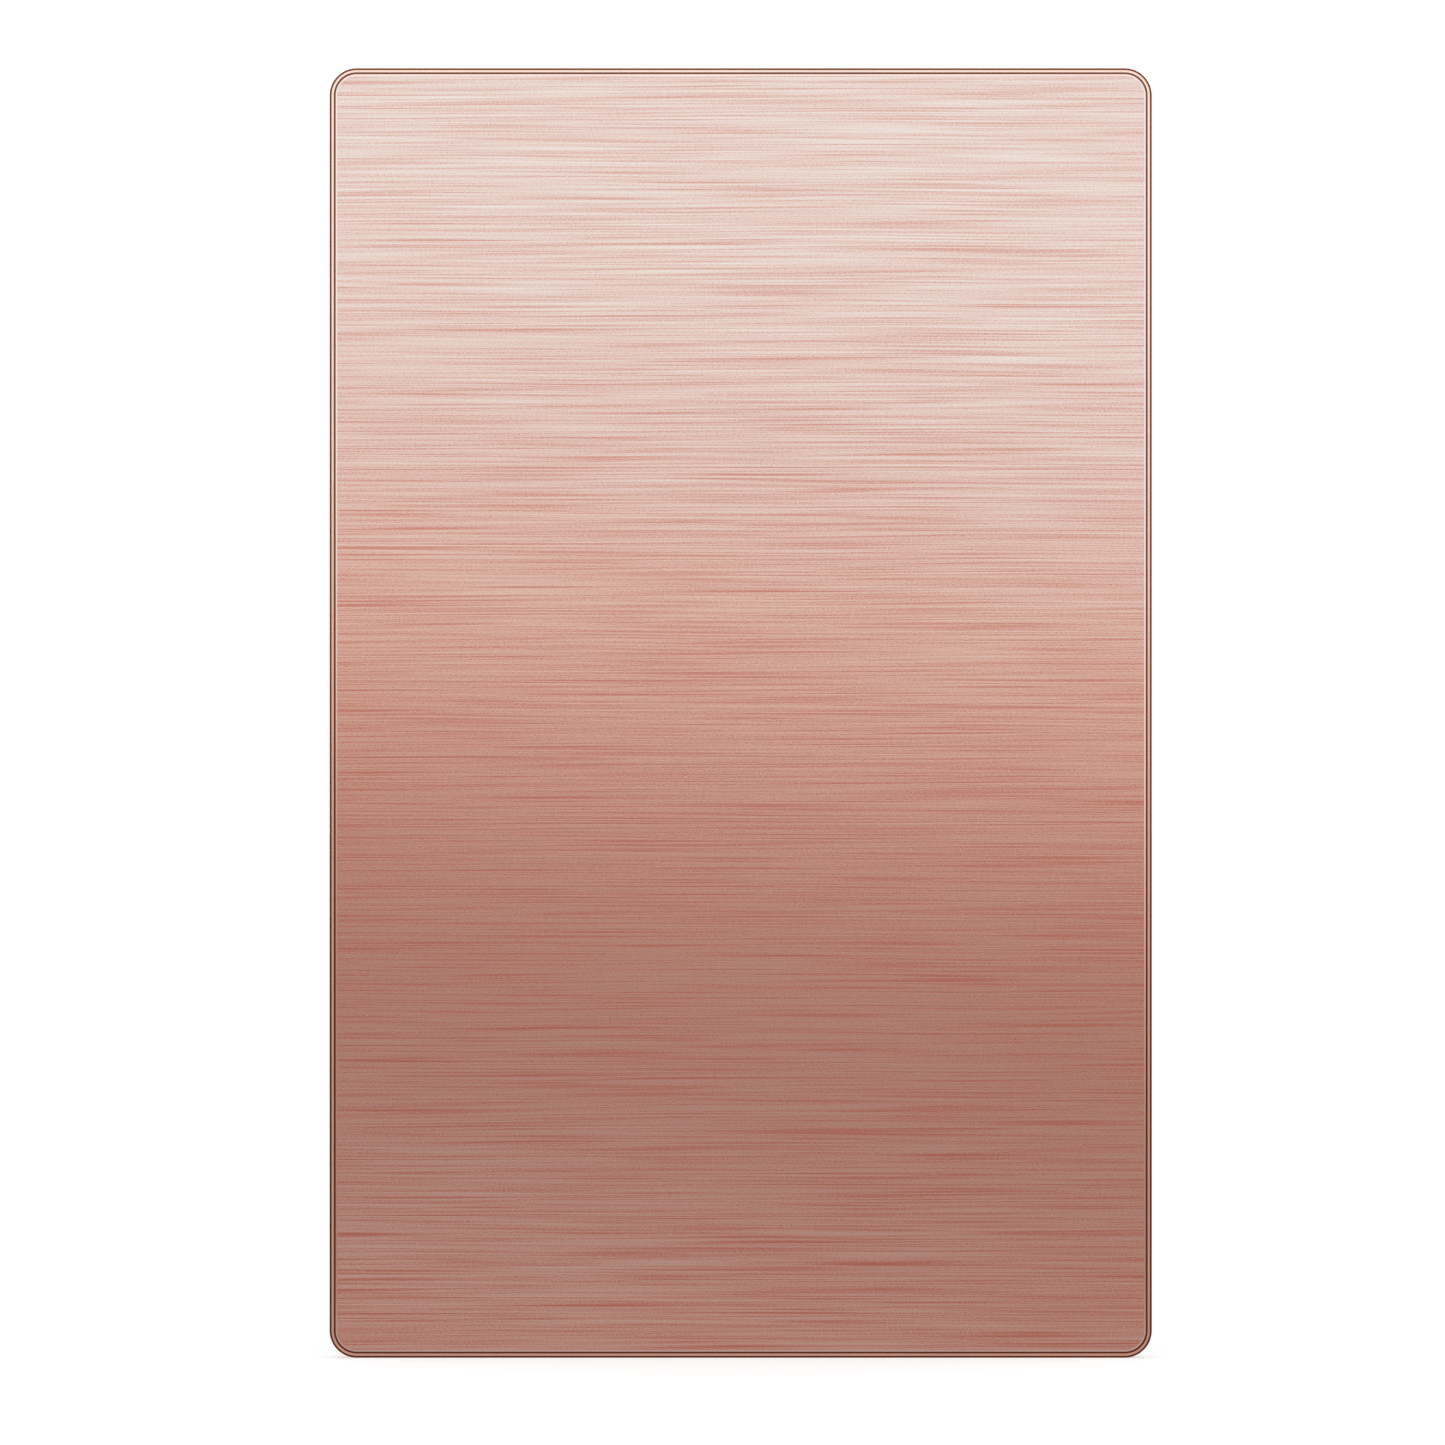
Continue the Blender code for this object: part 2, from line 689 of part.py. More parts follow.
def key_cap(name, length, y, nub_offsets):
    """A flush cap with a retaining flange behind the wall; its origin lies on its joint's axis."""
    pivot = KEY_FLANGE_TOP - KEY_FLANGE_THICKNESS / 2
    outer = HALF_WIDTH - KEY_RECESS
    head = edge_prism(stadium(length, KEY_HEIGHT, 5), outer - KEY_FLANGE_TOP + 0.3, "X")
    head.transform(Matrix.Translation((mm((outer + KEY_FLANGE_TOP - 0.3) / 2 - pivot), 0, 0)))
    cap = add_part(name, head, (pivot, y, PORT_LINE), "polished_rim")
    flange_x = (KEY_FLANGE_TOP - KEY_FLANGE_THICKNESS, KEY_FLANGE_TOP)
    flange_y = (y - length / 2 - 0.6, y + length / 2 + 0.6)
    flange = box_cutter(name + "_flange", flange_x, flange_y, (PORT_LINE - 1.35, PORT_LINE + 1.35))
    boolean(cap, flange, "UNION")
    for offset in nub_offsets:
        nub_x = (flange_x[0] - KEY_NUB_HEIGHT, flange_x[0] + 0.3)
        nub_y = (y + offset - 1.1, y + offset + 1.1)
        nub = box_cutter(name + "_nub", nub_x, nub_y, (PORT_LINE - 0.8, PORT_LINE + 0.8))
        boolean(cap, nub, "UNION")


def key_switch(name, y):
    body_x = (SWITCH_FACE - 1.45, SWITCH_FACE - 0.35)
    body = block(name, body_x, (y - 1.75, y + 1.75), (PORT_LINE - 1.3, PORT_LINE + 1.3), "shield_steel")
    nub = cylinder_mesh(0.7, 0.8, 14, "X")
    boolean(body, add_cutter(name + "_nub", nub, (SWITCH_FACE - 0.4, y, PORT_LINE)), "UNION")


def build_keys():
    key_cap("power_button", POWER_LENGTH, POWER_Y, [0])
    key_cap("volume_rocker", VOLUME_LENGTH, VOLUME_Y, [-VOLUME_SWITCH_OFFSET, VOLUME_SWITCH_OFFSET])
    key_switch("power_switch", POWER_Y)
    key_switch("volume_up_switch", VOLUME_Y + VOLUME_SWITCH_OFFSET)
    key_switch("volume_down_switch", VOLUME_Y - VOLUME_SWITCH_OFFSET)
    y_range = (VOLUME_Y - 13, POWER_Y + 6)
    flex_x = SWITCH_FACE - 1.55
    block("key_flex", (flex_x - 0.12, flex_x), y_range, (PORT_LINE - 1.3, PORT_LINE + 1.3), "flex_film")
    bracket_x = (flex_x - 0.72, flex_x - 0.22)
    block("key_bracket", bracket_x, y_range, (PORT_LINE - 1.7, PORT_LINE + 1.5), "shield_steel", 0.1)


# Card slot


def build_card_tray():
    """The tray's head fills the slot in the frame; its plate carries the card and slides out along -X."""
    outer = -HALF_WIDTH + KEY_RECESS
    head_depth = 1.4
    head = edge_prism(stadium(TRAY_HEAD_LENGTH, KEY_HEIGHT, 5), head_depth, "X")
    tray = add_part("card_tray", head, (outer + head_depth / 2, CARD_Y, PORT_LINE), "polished_rim")
    half_plate = TRAY_PLATE_THICKNESS / 2
    plate_x = (outer + head_depth - 0.4, TRAY_END_X)
    plate_y = (TRAY_PLATE_Y - TRAY_PLATE_WIDTH / 2, TRAY_PLATE_Y + TRAY_PLATE_WIDTH / 2)
    carrier = box_cutter("tray_carrier", plate_x, plate_y, (PORT_LINE - half_plate, PORT_LINE + half_plate))
    boolean(tray, carrier, "UNION")
    pocket_x = (TRAY_END_X - 16.2, TRAY_END_X - 1.0)
    pocket = box_cutter(
        "card_pocket",
        pocket_x,
        (TRAY_PLATE_Y - 5.6, TRAY_PLATE_Y + 5.6),
        (PORT_LINE - half_plate + 0.25, PORT_LINE + 2),
    )
    boolean(tray, pocket)
    window = box_cutter(
        "card_window",
        (pocket_x[0] + 2, pocket_x[1] - 2),
        (TRAY_PLATE_Y - 4.2, TRAY_PLATE_Y + 4.2),
        (PORT_LINE - 2, PORT_LINE + 2),
    )
    boolean(tray, window)
    pin_hole = cylinder_mesh(0.45, 4, 12, "X")
    boolean(tray, add_cutter("pin_hole", pin_hole, (outer, EJECT_Y, PORT_LINE)))


def build_card_socket():
    cage_x = (-HALF_WIDTH + 1.65, -55.3)
    cage_y = (CARD_Y - 7.8, CARD_Y + 7.9)
    cage = block("card_socket", cage_x, cage_y, (PORT_LINE - 0.85, PORT_LINE + 0.8), "shield_steel")
    mouth = cage_x[0] - 1
    tray_way = box_cutter(
        "tray_way",
        (mouth, -58.6),
        (TRAY_PLATE_Y - 6.5, TRAY_PLATE_Y + 6.5),
        (PORT_LINE - 0.6, PORT_LINE + 0.6),
    )
    rod_way = box_cutter(
        "rod_way",
        (mouth, -58.4),
        (EJECT_Y - 0.6, EJECT_Y + 0.6),
        (PORT_LINE - 0.6, PORT_LINE + 0.6),
    )
    lever_way = box_cutter(
        "lever_way",
        (TRAY_END_X + 0.1, -55.6),
        (LEVER_Y - LEVER_LENGTH / 2 - 0.35, LEVER_Y + LEVER_LENGTH / 2 + 0.35),
        (PORT_LINE - 0.6, PORT_LINE + 0.6),
    )
    for cutter in (tray_way, rod_way, lever_way):
        boolean(cage, cutter)
    pivot = (LEVER_X, LEVER_Y, PORT_LINE)
    pivot_pin = add_cutter("pivot_pin", cylinder_mesh(PIVOT_PIN_RADIUS, 1.36), pivot)
    boolean(cage, pivot_pin, "UNION")

    rod_x = (-HALF_WIDTH + 1.75, LEVER_X - 0.7)
    half = EJECT_WIDTH / 2
    spans = (rod_x, (EJECT_Y - half, EJECT_Y + half), (PORT_LINE - half, PORT_LINE + half))
    block("eject_rod", *spans, "screw_steel", 0.1)

    lever = box_mesh((1.0, LEVER_LENGTH, 0.8))
    arm = add_part("eject_lever", lever, pivot, "screw_steel")
    bevel(arm, 0.15)
    pivot_boss = add_cutter("pivot_boss", cylinder_mesh(PIVOT_BOSS_RADIUS, 0.7), pivot)
    boolean(arm, pivot_boss, "UNION")
    pivot_hole = add_cutter("pivot_hole", cylinder_mesh(PIVOT_HOLE_RADIUS, 3), pivot)
    boolean(arm, pivot_hole)


def build_screws():
    for number, (x, y) in enumerate(MAIN_SCREWS, 1):
        add_screw(f"main_board_screw_{number}", x, y)
    for number, (x, y) in enumerate(SUB_SCREWS, 1):
        add_screw(f"sub_board_screw_{number}", x, y)


build_side_frame()
build_rear_cover()
build_mid_plate()
build_display()
build_display_cables()
build_camera()
build_main_board()
build_sub_board()
build_link_cable()
build_antennas()
build_battery()
build_speakers()
build_keys()
build_card_tray()
build_card_socket()
build_screws()
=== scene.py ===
# Looks of a slim tablet computer: brushed rose-copper back in a polished rim, black glass front,
# keys, card tray, port and sound openings, and the finishes of everything inside.
import math

import bmesh
import bpy
from mathutils import Matrix, Vector


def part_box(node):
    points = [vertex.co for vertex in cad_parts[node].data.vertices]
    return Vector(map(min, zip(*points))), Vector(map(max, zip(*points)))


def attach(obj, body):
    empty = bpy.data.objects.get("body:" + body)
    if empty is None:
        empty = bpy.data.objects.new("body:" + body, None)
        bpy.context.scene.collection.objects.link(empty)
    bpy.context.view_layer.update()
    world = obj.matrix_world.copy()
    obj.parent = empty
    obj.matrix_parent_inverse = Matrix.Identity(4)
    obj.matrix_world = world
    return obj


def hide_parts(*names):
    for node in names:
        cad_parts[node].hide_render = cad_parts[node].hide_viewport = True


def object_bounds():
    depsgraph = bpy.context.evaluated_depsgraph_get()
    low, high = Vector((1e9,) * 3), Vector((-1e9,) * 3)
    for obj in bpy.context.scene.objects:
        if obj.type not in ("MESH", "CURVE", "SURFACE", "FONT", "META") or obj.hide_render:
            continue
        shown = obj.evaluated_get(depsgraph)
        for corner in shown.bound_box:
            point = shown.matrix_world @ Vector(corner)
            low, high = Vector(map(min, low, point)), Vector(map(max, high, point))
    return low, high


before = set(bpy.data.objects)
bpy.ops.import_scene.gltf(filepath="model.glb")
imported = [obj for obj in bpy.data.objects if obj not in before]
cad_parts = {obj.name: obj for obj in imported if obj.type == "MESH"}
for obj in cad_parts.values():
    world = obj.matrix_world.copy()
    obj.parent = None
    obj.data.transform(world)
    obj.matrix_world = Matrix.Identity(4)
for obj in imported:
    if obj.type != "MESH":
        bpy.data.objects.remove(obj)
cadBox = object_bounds()
print("frame loaded:", len(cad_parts), "nodes")

mm = 0.001
scene = bpy.context.scene
caseLow, caseHigh = cadBox
caseWidth = caseHigh.x - caseLow.x
caseHeight = caseHigh.z - caseLow.z
caseMiddle = (caseLow + caseHigh) / 2
rearFace = caseLow.y
glassFace = caseHigh.y


# Node helpers, for materials and geometry trees alike. A socket given as a value is linked.
def addNode(tree, kind, inputs=None, **settings):
    node = tree.nodes.new(kind)
    for key, value in settings.items():
        setattr(node, key, value)
    for key, value in (inputs or {}).items():
        if isinstance(value, bpy.types.NodeSocket):
            tree.links.new(value, node.inputs[key])
        else:
            node.inputs[key].default_value = value
    return node


def calc(tree, operation, first, second=0.0, clamp=False):
    node = addNode(tree, "ShaderNodeMath", {0: first, 1: second}, operation=operation, use_clamp=clamp)
    return node.outputs[0]


def remap(tree, value, fromLow, fromHigh, toLow=0.0, toHigh=1.0, curve="LINEAR"):
    sizes = {"Value": value, "From Min": fromLow, "From Max": fromHigh, "To Min": toLow, "To Max": toHigh}
    return addNode(tree, "ShaderNodeMapRange", sizes, interpolation_type=curve, clamp=True).outputs[0]


def blendColor(tree, share, first, second, mode="MIX"):
    node = addNode(tree, "ShaderNodeMix", data_type="RGBA", blend_type=mode)
    for socket, value in ((0, share), (6, first), (7, second)):
        if isinstance(value, bpy.types.NodeSocket):
            tree.links.new(value, node.inputs[socket])
        elif socket == 0:
            node.inputs[0].default_value = value
        else:
            node.inputs[socket].default_value = (*value[:3], 1)
    return node.outputs[2]


def shade(color, factor):
    return tuple(channel * factor for channel in color)


# Noise about 0.5, with stretch cells a metre along each axis
def noise(tree, place, stretch, detail=2.0, roughness=0.5, shift=(0, 0, 0)):
    moved = addNode(tree, "ShaderNodeMapping", {"Vector": place, "Scale": stretch, "Location": shift})
    sizes = {"Vector": moved.outputs[0], "Scale": 1.0, "Detail": detail, "Roughness": roughness}
    return addNode(tree, "ShaderNodeTexNoise", sizes).outputs[0]


def wire(tree, value, socket):
    tree.links.new(value, socket)


# A Principled material with its constant sockets set: gives the material, tree, shader and coordinates
def newMaterial(name, **fixed):
    material = bpy.data.materials.new(name)
    material.use_nodes = True
    tree = material.node_tree
    shader = tree.nodes["Principled BSDF"]
    for key, value in fixed.items():
        shader.inputs[key.replace("_", " ")].default_value = value
    place = addNode(tree, "ShaderNodeTexCoord").outputs["Object"]
    return material, tree, shader, place


def axes(tree, place):
    return addNode(tree, "ShaderNodeSeparateXYZ", {"Vector": place}).outputs


def bumpFrom(tree, height, shader, depth, strength=1.0):
    bump = addNode(tree, "ShaderNodeBump", {"Height": height, "Strength": strength, "Distance": depth})
    wire(tree, bump.outputs[0], shader.inputs["Normal"])


# Mesh and object helpers
def newObject(name, mesh, material=None):
    piece = bpy.data.objects.new(name, mesh)
    scene.collection.objects.link(piece)
    if material:
        mesh.materials.clear()
        mesh.materials.append(material)
    return piece


def smoothByAngle(mesh, degrees=35):
    mesh.shade_smooth()
    mesh.set_sharp_from_angle(angle=math.radians(degrees))
    return mesh


# The piece rides on its body and stands for its CAD nodes, which are hidden
def shown(piece, body, slotName, *nodes):
    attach(piece, body)
    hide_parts(*nodes)
    return piece


# Points round a rounded rectangle, anticlockwise
def roundedRing(width, height, radius, steps):
    points = []
    for sideX, sideY, start in ((1, 1, 0), (-1, 1, 90), (-1, -1, 180), (1, -1, 270)):
        centerX = sideX * (width / 2 - radius)
        centerY = sideY * (height / 2 - radius)
        for step in range(steps + 1):
            angle = math.radians(start + 90 * step / steps)
            points.append((centerX + radius * math.cos(angle), centerY + radius * math.sin(angle)))
    return points


def circleRing(radius, steps=32):
    angles = [2 * math.pi * step / steps for step in range(steps)]
    return [(radius * math.cos(angle), radius * math.sin(angle)) for angle in angles]


# A closed skin over rings of equal count; each ring has its depth, and place turns (a, b, depth) to 3D
def loft(name, rings, place, degrees=35):
    shape = bmesh.new()
    loops = [[shape.verts.new(place(a, b, depth)) for a, b in ring] for ring, depth in rings]
    count = len(loops[0])
    for low, high in zip(loops, loops[1:]):
        for i in range(count):
            j = (i + 1) % count
            shape.faces.new((low[i], low[j], high[j], high[i]))
    shape.faces.new(list(reversed(loops[0])))
    shape.faces.new(loops[-1])
    bmesh.ops.recalc_face_normals(shape, faces=shape.faces)
    mesh = bpy.data.meshes.new(name)
    shape.to_mesh(mesh)
    shape.free()
    return smoothByAngle(mesh, degrees)


def joined(name, meshes):
    shape = bmesh.new()
    for mesh in meshes:
        shape.from_mesh(mesh)
    whole = bpy.data.meshes.new(name)
    shape.to_mesh(whole)
    shape.free()
    return smoothByAngle(whole)


def block(low, high, edge=0.0, segments=2):
    shape = bmesh.new()
    size = Vector(high) - Vector(low)
    middle = (Vector(high) + Vector(low)) / 2
    placing = Matrix.Translation(middle) @ Matrix.Diagonal(size).to_4x4()
    bmesh.ops.create_cube(shape, size=1.0, matrix=placing)
    if edge:
        rounding = {"offset": edge, "segments": segments, "profile": 0.5, "affect": "EDGES"}
        bmesh.ops.bevel(shape, geom=shape.edges[:], **rounding)
    mesh = bpy.data.meshes.new("block")
    shape.to_mesh(mesh)
    shape.free()
    return smoothByAngle(mesh)


# Turns the evaluated object into a plain mesh with no modifiers
def settle(piece):
    evaluated = piece.evaluated_get(bpy.context.evaluated_depsgraph_get())
    mesh = bpy.data.meshes.new_from_object(evaluated)
    piece.modifiers.clear()
    piece.data = mesh
    return piece


def cut(piece, tools):
    for tool in tools:
        modifier = piece.modifiers.new("cut", "BOOLEAN")
        modifier.object = tool
        modifier.solver = "EXACT"
    settle(piece)
    for tool in tools:
        bpy.data.objects.remove(tool)
    smoothByAngle(piece.data)
    return piece


# An empty geometry tree with one named input for each size
def geometryTree(name, sizes):
    tree = bpy.data.node_groups.new(name, "GeometryNodeTree")
    tree.interface.new_socket("Geometry", in_out="OUTPUT", socket_type="NodeSocketGeometry")
    kinds = {float: "NodeSocketFloat", int: "NodeSocketInt", bpy.types.Material: "NodeSocketMaterial"}
    for label, value in sizes.items():
        kind = kinds.get(type(value), "NodeSocketObject")
        tree.interface.new_socket(label, in_out="INPUT", socket_type=kind)
    return tree, tree.nodes.new("NodeGroupInput"), tree.nodes.new("NodeGroupOutput")


# Every tree ends the same way: real meshes with their finish
def finishTree(tree, geometry, given, out):
    real = addNode(tree, "GeometryNodeRealizeInstances", {0: geometry})
    painting = {"Geometry": real.outputs[0], "Material": given.outputs["Finish"]}
    painted = addNode(tree, "GeometryNodeSetMaterial", painting)
    wire(tree, painted.outputs[0], out.inputs[0])


# A plain mesh object made by a geometry tree from these sizes
def grown(name, makeTree, sizes):
    tree = makeTree(sizes)
    piece = newObject(name, bpy.data.meshes.new(name))
    modifier = piece.modifiers.new(tree.name, "NODES")
    modifier.node_group = tree
    for item in tree.interface.items_tree:
        if item.item_type == "SOCKET" and item.in_out == "INPUT":
            modifier[item.identifier] = sizes[item.name]
    return settle(piece)


backFinish = {
    "dark": (0.69, 0.25, 0.185),
    "middle": (0.80, 0.465, 0.37),
    "pale": (0.84, 0.58, 0.475),
    "roughness": 0.27,
    "roughnessSwing": 0.04,
    "anisotropy": 0.7,
    "bumpDepth": 0.00002,
    "bumpStrength": 0.4,
    "staggerReach": 0.34,
    "staggerFineness": 230,
    "deepCut": 0.34,
    "lowerContrast": 1.4,
    "streakReach": 22,
    "streakFineness": 3300,
    "wanderStretch": (14, 1, 30),
    "wanderLift": 0.0010,
    "grainStretch": (2400, 1, 4300),
    "deepCutRange": (0.58, 0.76),
}


# Brush marks across the width: long, hair-thin and slightly wandering, with a faint grain over them
def brushStreaks(tree, place):
    reach = backFinish["streakReach"]
    fine = backFinish["streakFineness"]
    wander = noise(tree, place, backFinish["wanderStretch"], 1.0)
    lift = calc(tree, "MULTIPLY", calc(tree, "SUBTRACT", wander, 0.5), backFinish["wanderLift"])
    stagger = noise(tree, place, (0, 1, backFinish["staggerFineness"]), 1.0, 0.5, (0.4, 0.3, 0.6))
    shift = calc(tree, "MULTIPLY", calc(tree, "SUBTRACT", stagger, 0.5), backFinish["staggerReach"])
    offset = addNode(tree, "ShaderNodeCombineXYZ", {"X": shift, "Z": lift}).outputs[0]
    bent = addNode(tree, "ShaderNodeVectorMath", {0: place, 1: offset}, operation="ADD").outputs[0]
    layers = (
        (noise(tree, bent, (reach, 1, fine), 1.0, 0.5), 1.5),
        (noise(tree, bent, (reach * 2.2, 1, fine * 0.62), 1.0, 0.5, (3, 0, 7)), 0.50),
        (noise(tree, bent, (reach * 0.5, 1, fine * 0.16), 2.0, 0.6, (1, 0, 2)), 0.09),
        (noise(tree, place, backFinish["grainStretch"], 0.0, 0.5, (5.3, 0, 1.7)), 0.55),
    )
    total = 0.0
    for layer, weight in layers:
        part = calc(tree, "MULTIPLY", calc(tree, "SUBTRACT", layer, 0.5), weight)
        total = calc(tree, "ADD", part, total)
    cuts = noise(tree, bent, (reach * 0.8, 1, fine * 1.05), 1.0, 0.5, (7, 0, 3))
    deep = remap(tree, cuts, *backFinish["deepCutRange"], 0.0, backFinish["deepCut"])
    total = calc(tree, "SUBTRACT", total, deep)
    gain = remap(tree, axes(tree, place)["Z"], 0.0, caseHeight, backFinish["lowerContrast"], 1.0)
    total = calc(tree, "ADD", calc(tree, "MULTIPLY", total, gain), 0.5)
    return calc(tree, "MAXIMUM", calc(tree, "MINIMUM", total, 1.0), 0.0)


def makeBackMetal():
    material, tree, shader, place = newMaterial("brushedRoseCopper", Metallic=1.0)
    shader.inputs["Anisotropic"].default_value = backFinish["anisotropy"]
    streak = brushStreaks(tree, place)
    ramp = addNode(tree, "ShaderNodeValToRGB", {0: streak})
    stops = ramp.color_ramp.elements
    stops[0].color = (*backFinish["dark"], 1)
    stops[1].color = (*backFinish["pale"], 1)
    stops.new(0.5).color = (*backFinish["middle"], 1)
    wire(tree, ramp.outputs[0], shader.inputs["Base Color"])
    rough = backFinish["roughness"]
    swing = backFinish["roughnessSwing"]
    wire(tree, remap(tree, streak, 0.0, 1.0, rough + swing, rough - swing), shader.inputs["Roughness"])
    upward = addNode(tree, "ShaderNodeCombineXYZ", {"Z": 1.0}).outputs[0]
    wire(tree, upward, shader.inputs["Tangent"])
    bumpFrom(tree, streak, shader, backFinish["bumpDepth"], backFinish["bumpStrength"])
    return material


rimFinish = {
    "bead": (0.95, 0.59, 0.45),
    # line: near-black painted shade for the rim's outer round
    "line": (0.20, 0.052, 0.024),
    "band": (0.78, 0.45, 0.36),
    "beadRoughness": 0.42,
    "bandRoughness": 0.30,
    "beadEnd": rearFace + 0.052 * mm,
    "lineStart": rearFace + 0.056 * mm,
    "lineEnd": rearFace + 0.50 * mm,
    "bandStart": rearFace + 0.62 * mm,
}


# A polished bead, then a near-black line of painted shade on the outer round where it turns away from the
# light, then the satin band of the side wall
def makeRimMetal():
    material, tree, shader, place = newMaterial("rimRoseCopper", Metallic=1.0)
    shader.inputs["Specular Tint"].default_value = (0.50, 0.28, 0.21, 1)
    depth = axes(tree, place)["Y"]
    grain = noise(tree, place, (1400, 4200, 1400), 2.0, 0.6)
    cloud = noise(tree, place, (60, 60, 60), 3.0, 0.6)
    tones = {}
    for part, spread in (("bead", cloud), ("line", grain), ("band", grain)):
        color = rimFinish[part]
        tones[part] = blendColor(tree, spread, shade(color, 0.88), shade(color, 1.10))
    # Past the bead the painted shade of the outer round takes over, then the band
    shadeLineShare = remap(tree, depth, rimFinish["beadEnd"], rimFinish["lineStart"])
    bandShare = remap(tree, depth, rimFinish["lineEnd"], rimFinish["bandStart"])
    color = blendColor(tree, shadeLineShare, tones["bead"], tones["line"])
    wire(tree, blendColor(tree, bandShare, color, tones["band"]), shader.inputs["Base Color"])
    bandRough = rimFinish["bandRoughness"]
    satin = remap(tree, grain, 0.3, 0.7, bandRough - 0.05, bandRough + 0.06)
    rough = addNode(tree, "ShaderNodeMix", {0: shadeLineShare, 2: rimFinish["beadRoughness"], 3: satin})
    wire(tree, rough.outputs[0], shader.inputs["Roughness"])
    bumpFrom(tree, grain, shader, 0.000006, 0.3)
    return material


# Painted shade: the groove's floor and walls and the sound slots' walls take a near-black copper that
# stands in for the shade in these recesses
def makeRecessShadeMetal():
    material, tree, shader, place = newMaterial("grooveCopper", Metallic=1.0)
    shader.inputs["Specular Tint"].default_value = (0.50, 0.28, 0.21, 1)
    grain = noise(tree, place, (900, 900, 900), 3.0, 0.6)
    copper = blendColor(tree, grain, (0.22, 0.056, 0.030), (0.28, 0.08, 0.045))
    wire(tree, copper, shader.inputs["Base Color"])
    wire(tree, remap(tree, grain, 0.3, 0.7, 0.28, 0.42), shader.inputs["Roughness"])
    return material


def makeChamferMetal():
    material, tree, shader, place = newMaterial("cutChamfer", Metallic=1.0)
    cloud = noise(tree, place, (300, 300, 300), 3.0, 0.6)
    bright = blendColor(tree, cloud, (0.82, 0.65, 0.60), (0.87, 0.70, 0.66))
    wire(tree, bright, shader.inputs["Base Color"])
    wire(tree, remap(tree, cloud, 0.3, 0.7, 0.10, 0.18), shader.inputs["Roughness"])
    return material


backMetal = makeBackMetal()
rimMetal = makeRimMetal()
recessShadeMetal = makeRecessShadeMetal()
chamferMetal = makeChamferMetal()
print("metal finishes made")

# Rear cover: a flat brushed plate with a bright cut chamfer
coverSizes = {
    "inset": 1.15 * mm,
    "chamferWidth": 0.32 * mm,
    "chamferDepth": 0.18 * mm,
    "thickness": 0.75 * mm,
    "cornerRadius": 5.2 * mm,
    "cornerSteps": 24,
}


# Plate outlines stand up: a across, b up, depth towards the glass
def upright(a, b, depth):
    return (a, depth, caseMiddle.z + b)


def outlineAt(inset):
    width = caseWidth - 2 * inset
    height = caseHeight - 2 * inset
    return roundedRing(width, height, coverSizes["cornerRadius"] - inset, coverSizes["cornerSteps"])


def makeRearCover():
    size = coverSizes
    inner = size["inset"] + size["chamferWidth"]
    chamferEnd = rearFace + size["chamferDepth"]
    rings = [
        (outlineAt(inner), rearFace),
        (outlineAt(size["inset"] + 0.03 * mm), chamferEnd),
        (outlineAt(size["inset"]), chamferEnd + 0.04 * mm),
        (outlineAt(size["inset"]), rearFace + size["thickness"] - 0.1 * mm),
        (outlineAt(size["inset"] + 0.1 * mm), rearFace + size["thickness"]),
    ]
    mesh = loft("brushedBack", rings, upright, 20)
    plate = newObject("brushedBack", mesh, backMetal)
    mesh.materials.append(chamferMetal)
    mesh.materials.append(recessShadeMetal)
    # Side faces: the chamfer takes the cut finish, and the wall down in the groove takes the painted-shade
    # copper
    for face in mesh.polygons:
        if abs(face.normal.y) < 0.98:
            face.material_index = 1 if face.center.y < chamferEnd else 2
    return shown(plate, "casing", "brushed_cover", "rear_cover")


makeRearCover()
print("rear cover made")

# Side frame: one section swept round the outline, then its openings are cut
bandSizes = {
    "outerRound": 0.45 * mm,
    "crest": 0.35 * mm,
    "innerRound": 0.03 * mm,
    "crestDepth": rearFace + 0.05 * mm,
    "grooveFloor": rearFace + 0.45 * mm,
    "grooveEnd": 2.8 * mm,
    "wall": 1.3 * mm,
    "glassLip": 0.95 * mm,
    "glassLedge": 3.0 * mm,
    "frontEdge": glassFace - 0.3 * mm,
    "frontCut": 0.4 * mm,
}


def arcPoints(centerX, centerY, radius, start, end, steps):
    points = []
    for step in range(steps + 1):
        angle = math.radians(start + (end - start) * step / steps)
        points.append((centerX + radius * math.cos(angle), centerY + radius * math.sin(angle)))
    return points


# The closed section as (-inset, depth) pairs, anticlockwise
def bandSection():
    size = bandSizes
    outer = size["outerRound"]
    inner = size["innerRound"]
    crestEnd = outer + size["crest"]
    rim = crestEnd + inner
    front = size["frontEdge"]
    frontCut = size["frontCut"]
    points = arcPoints(-outer, size["crestDepth"] + outer, outer, 270, 360, 10)
    points += [(0, front - frontCut - 0.03 * mm), (-0.03 * mm, front - frontCut + 0.03 * mm)]
    points += [(0.03 * mm - frontCut, front - 0.03 * mm), (-0.03 * mm - frontCut, front)]
    points += [(-size["glassLip"] + 0.04 * mm, front), (-size["glassLip"], front - 0.04 * mm)]
    points += [(-size["glassLip"], 2.6 * mm), (-size["glassLedge"], 2.6 * mm)]
    points += [(-size["glassLedge"], 2.0 * mm), (-size["wall"], 2.0 * mm)]
    points += [(-size["wall"], -2.1 * mm), (-size["grooveEnd"], -2.1 * mm)]
    points += [(-size["grooveEnd"], -2.5 * mm), (-1.18 * mm, -2.5 * mm)]
    points += [(-1.14 * mm, size["grooveFloor"]), (-rim, size["grooveFloor"])]
    points += arcPoints(-crestEnd, size["crestDepth"] + inner, inner, 180, 270, 5)
    return points


def sectionCurve(points):
    curve = bpy.data.curves.new("bandSection", "CURVE")
    curve.dimensions = "2D"
    spline = curve.splines.new("POLY")
    spline.points.add(len(points) - 1)
    for splinePoint, (x, y) in zip(spline.points, points):
        splinePoint.co = (x, y, 0, 1)
    spline.use_cyclic_u = True
    return newObject("bandSection", curve)


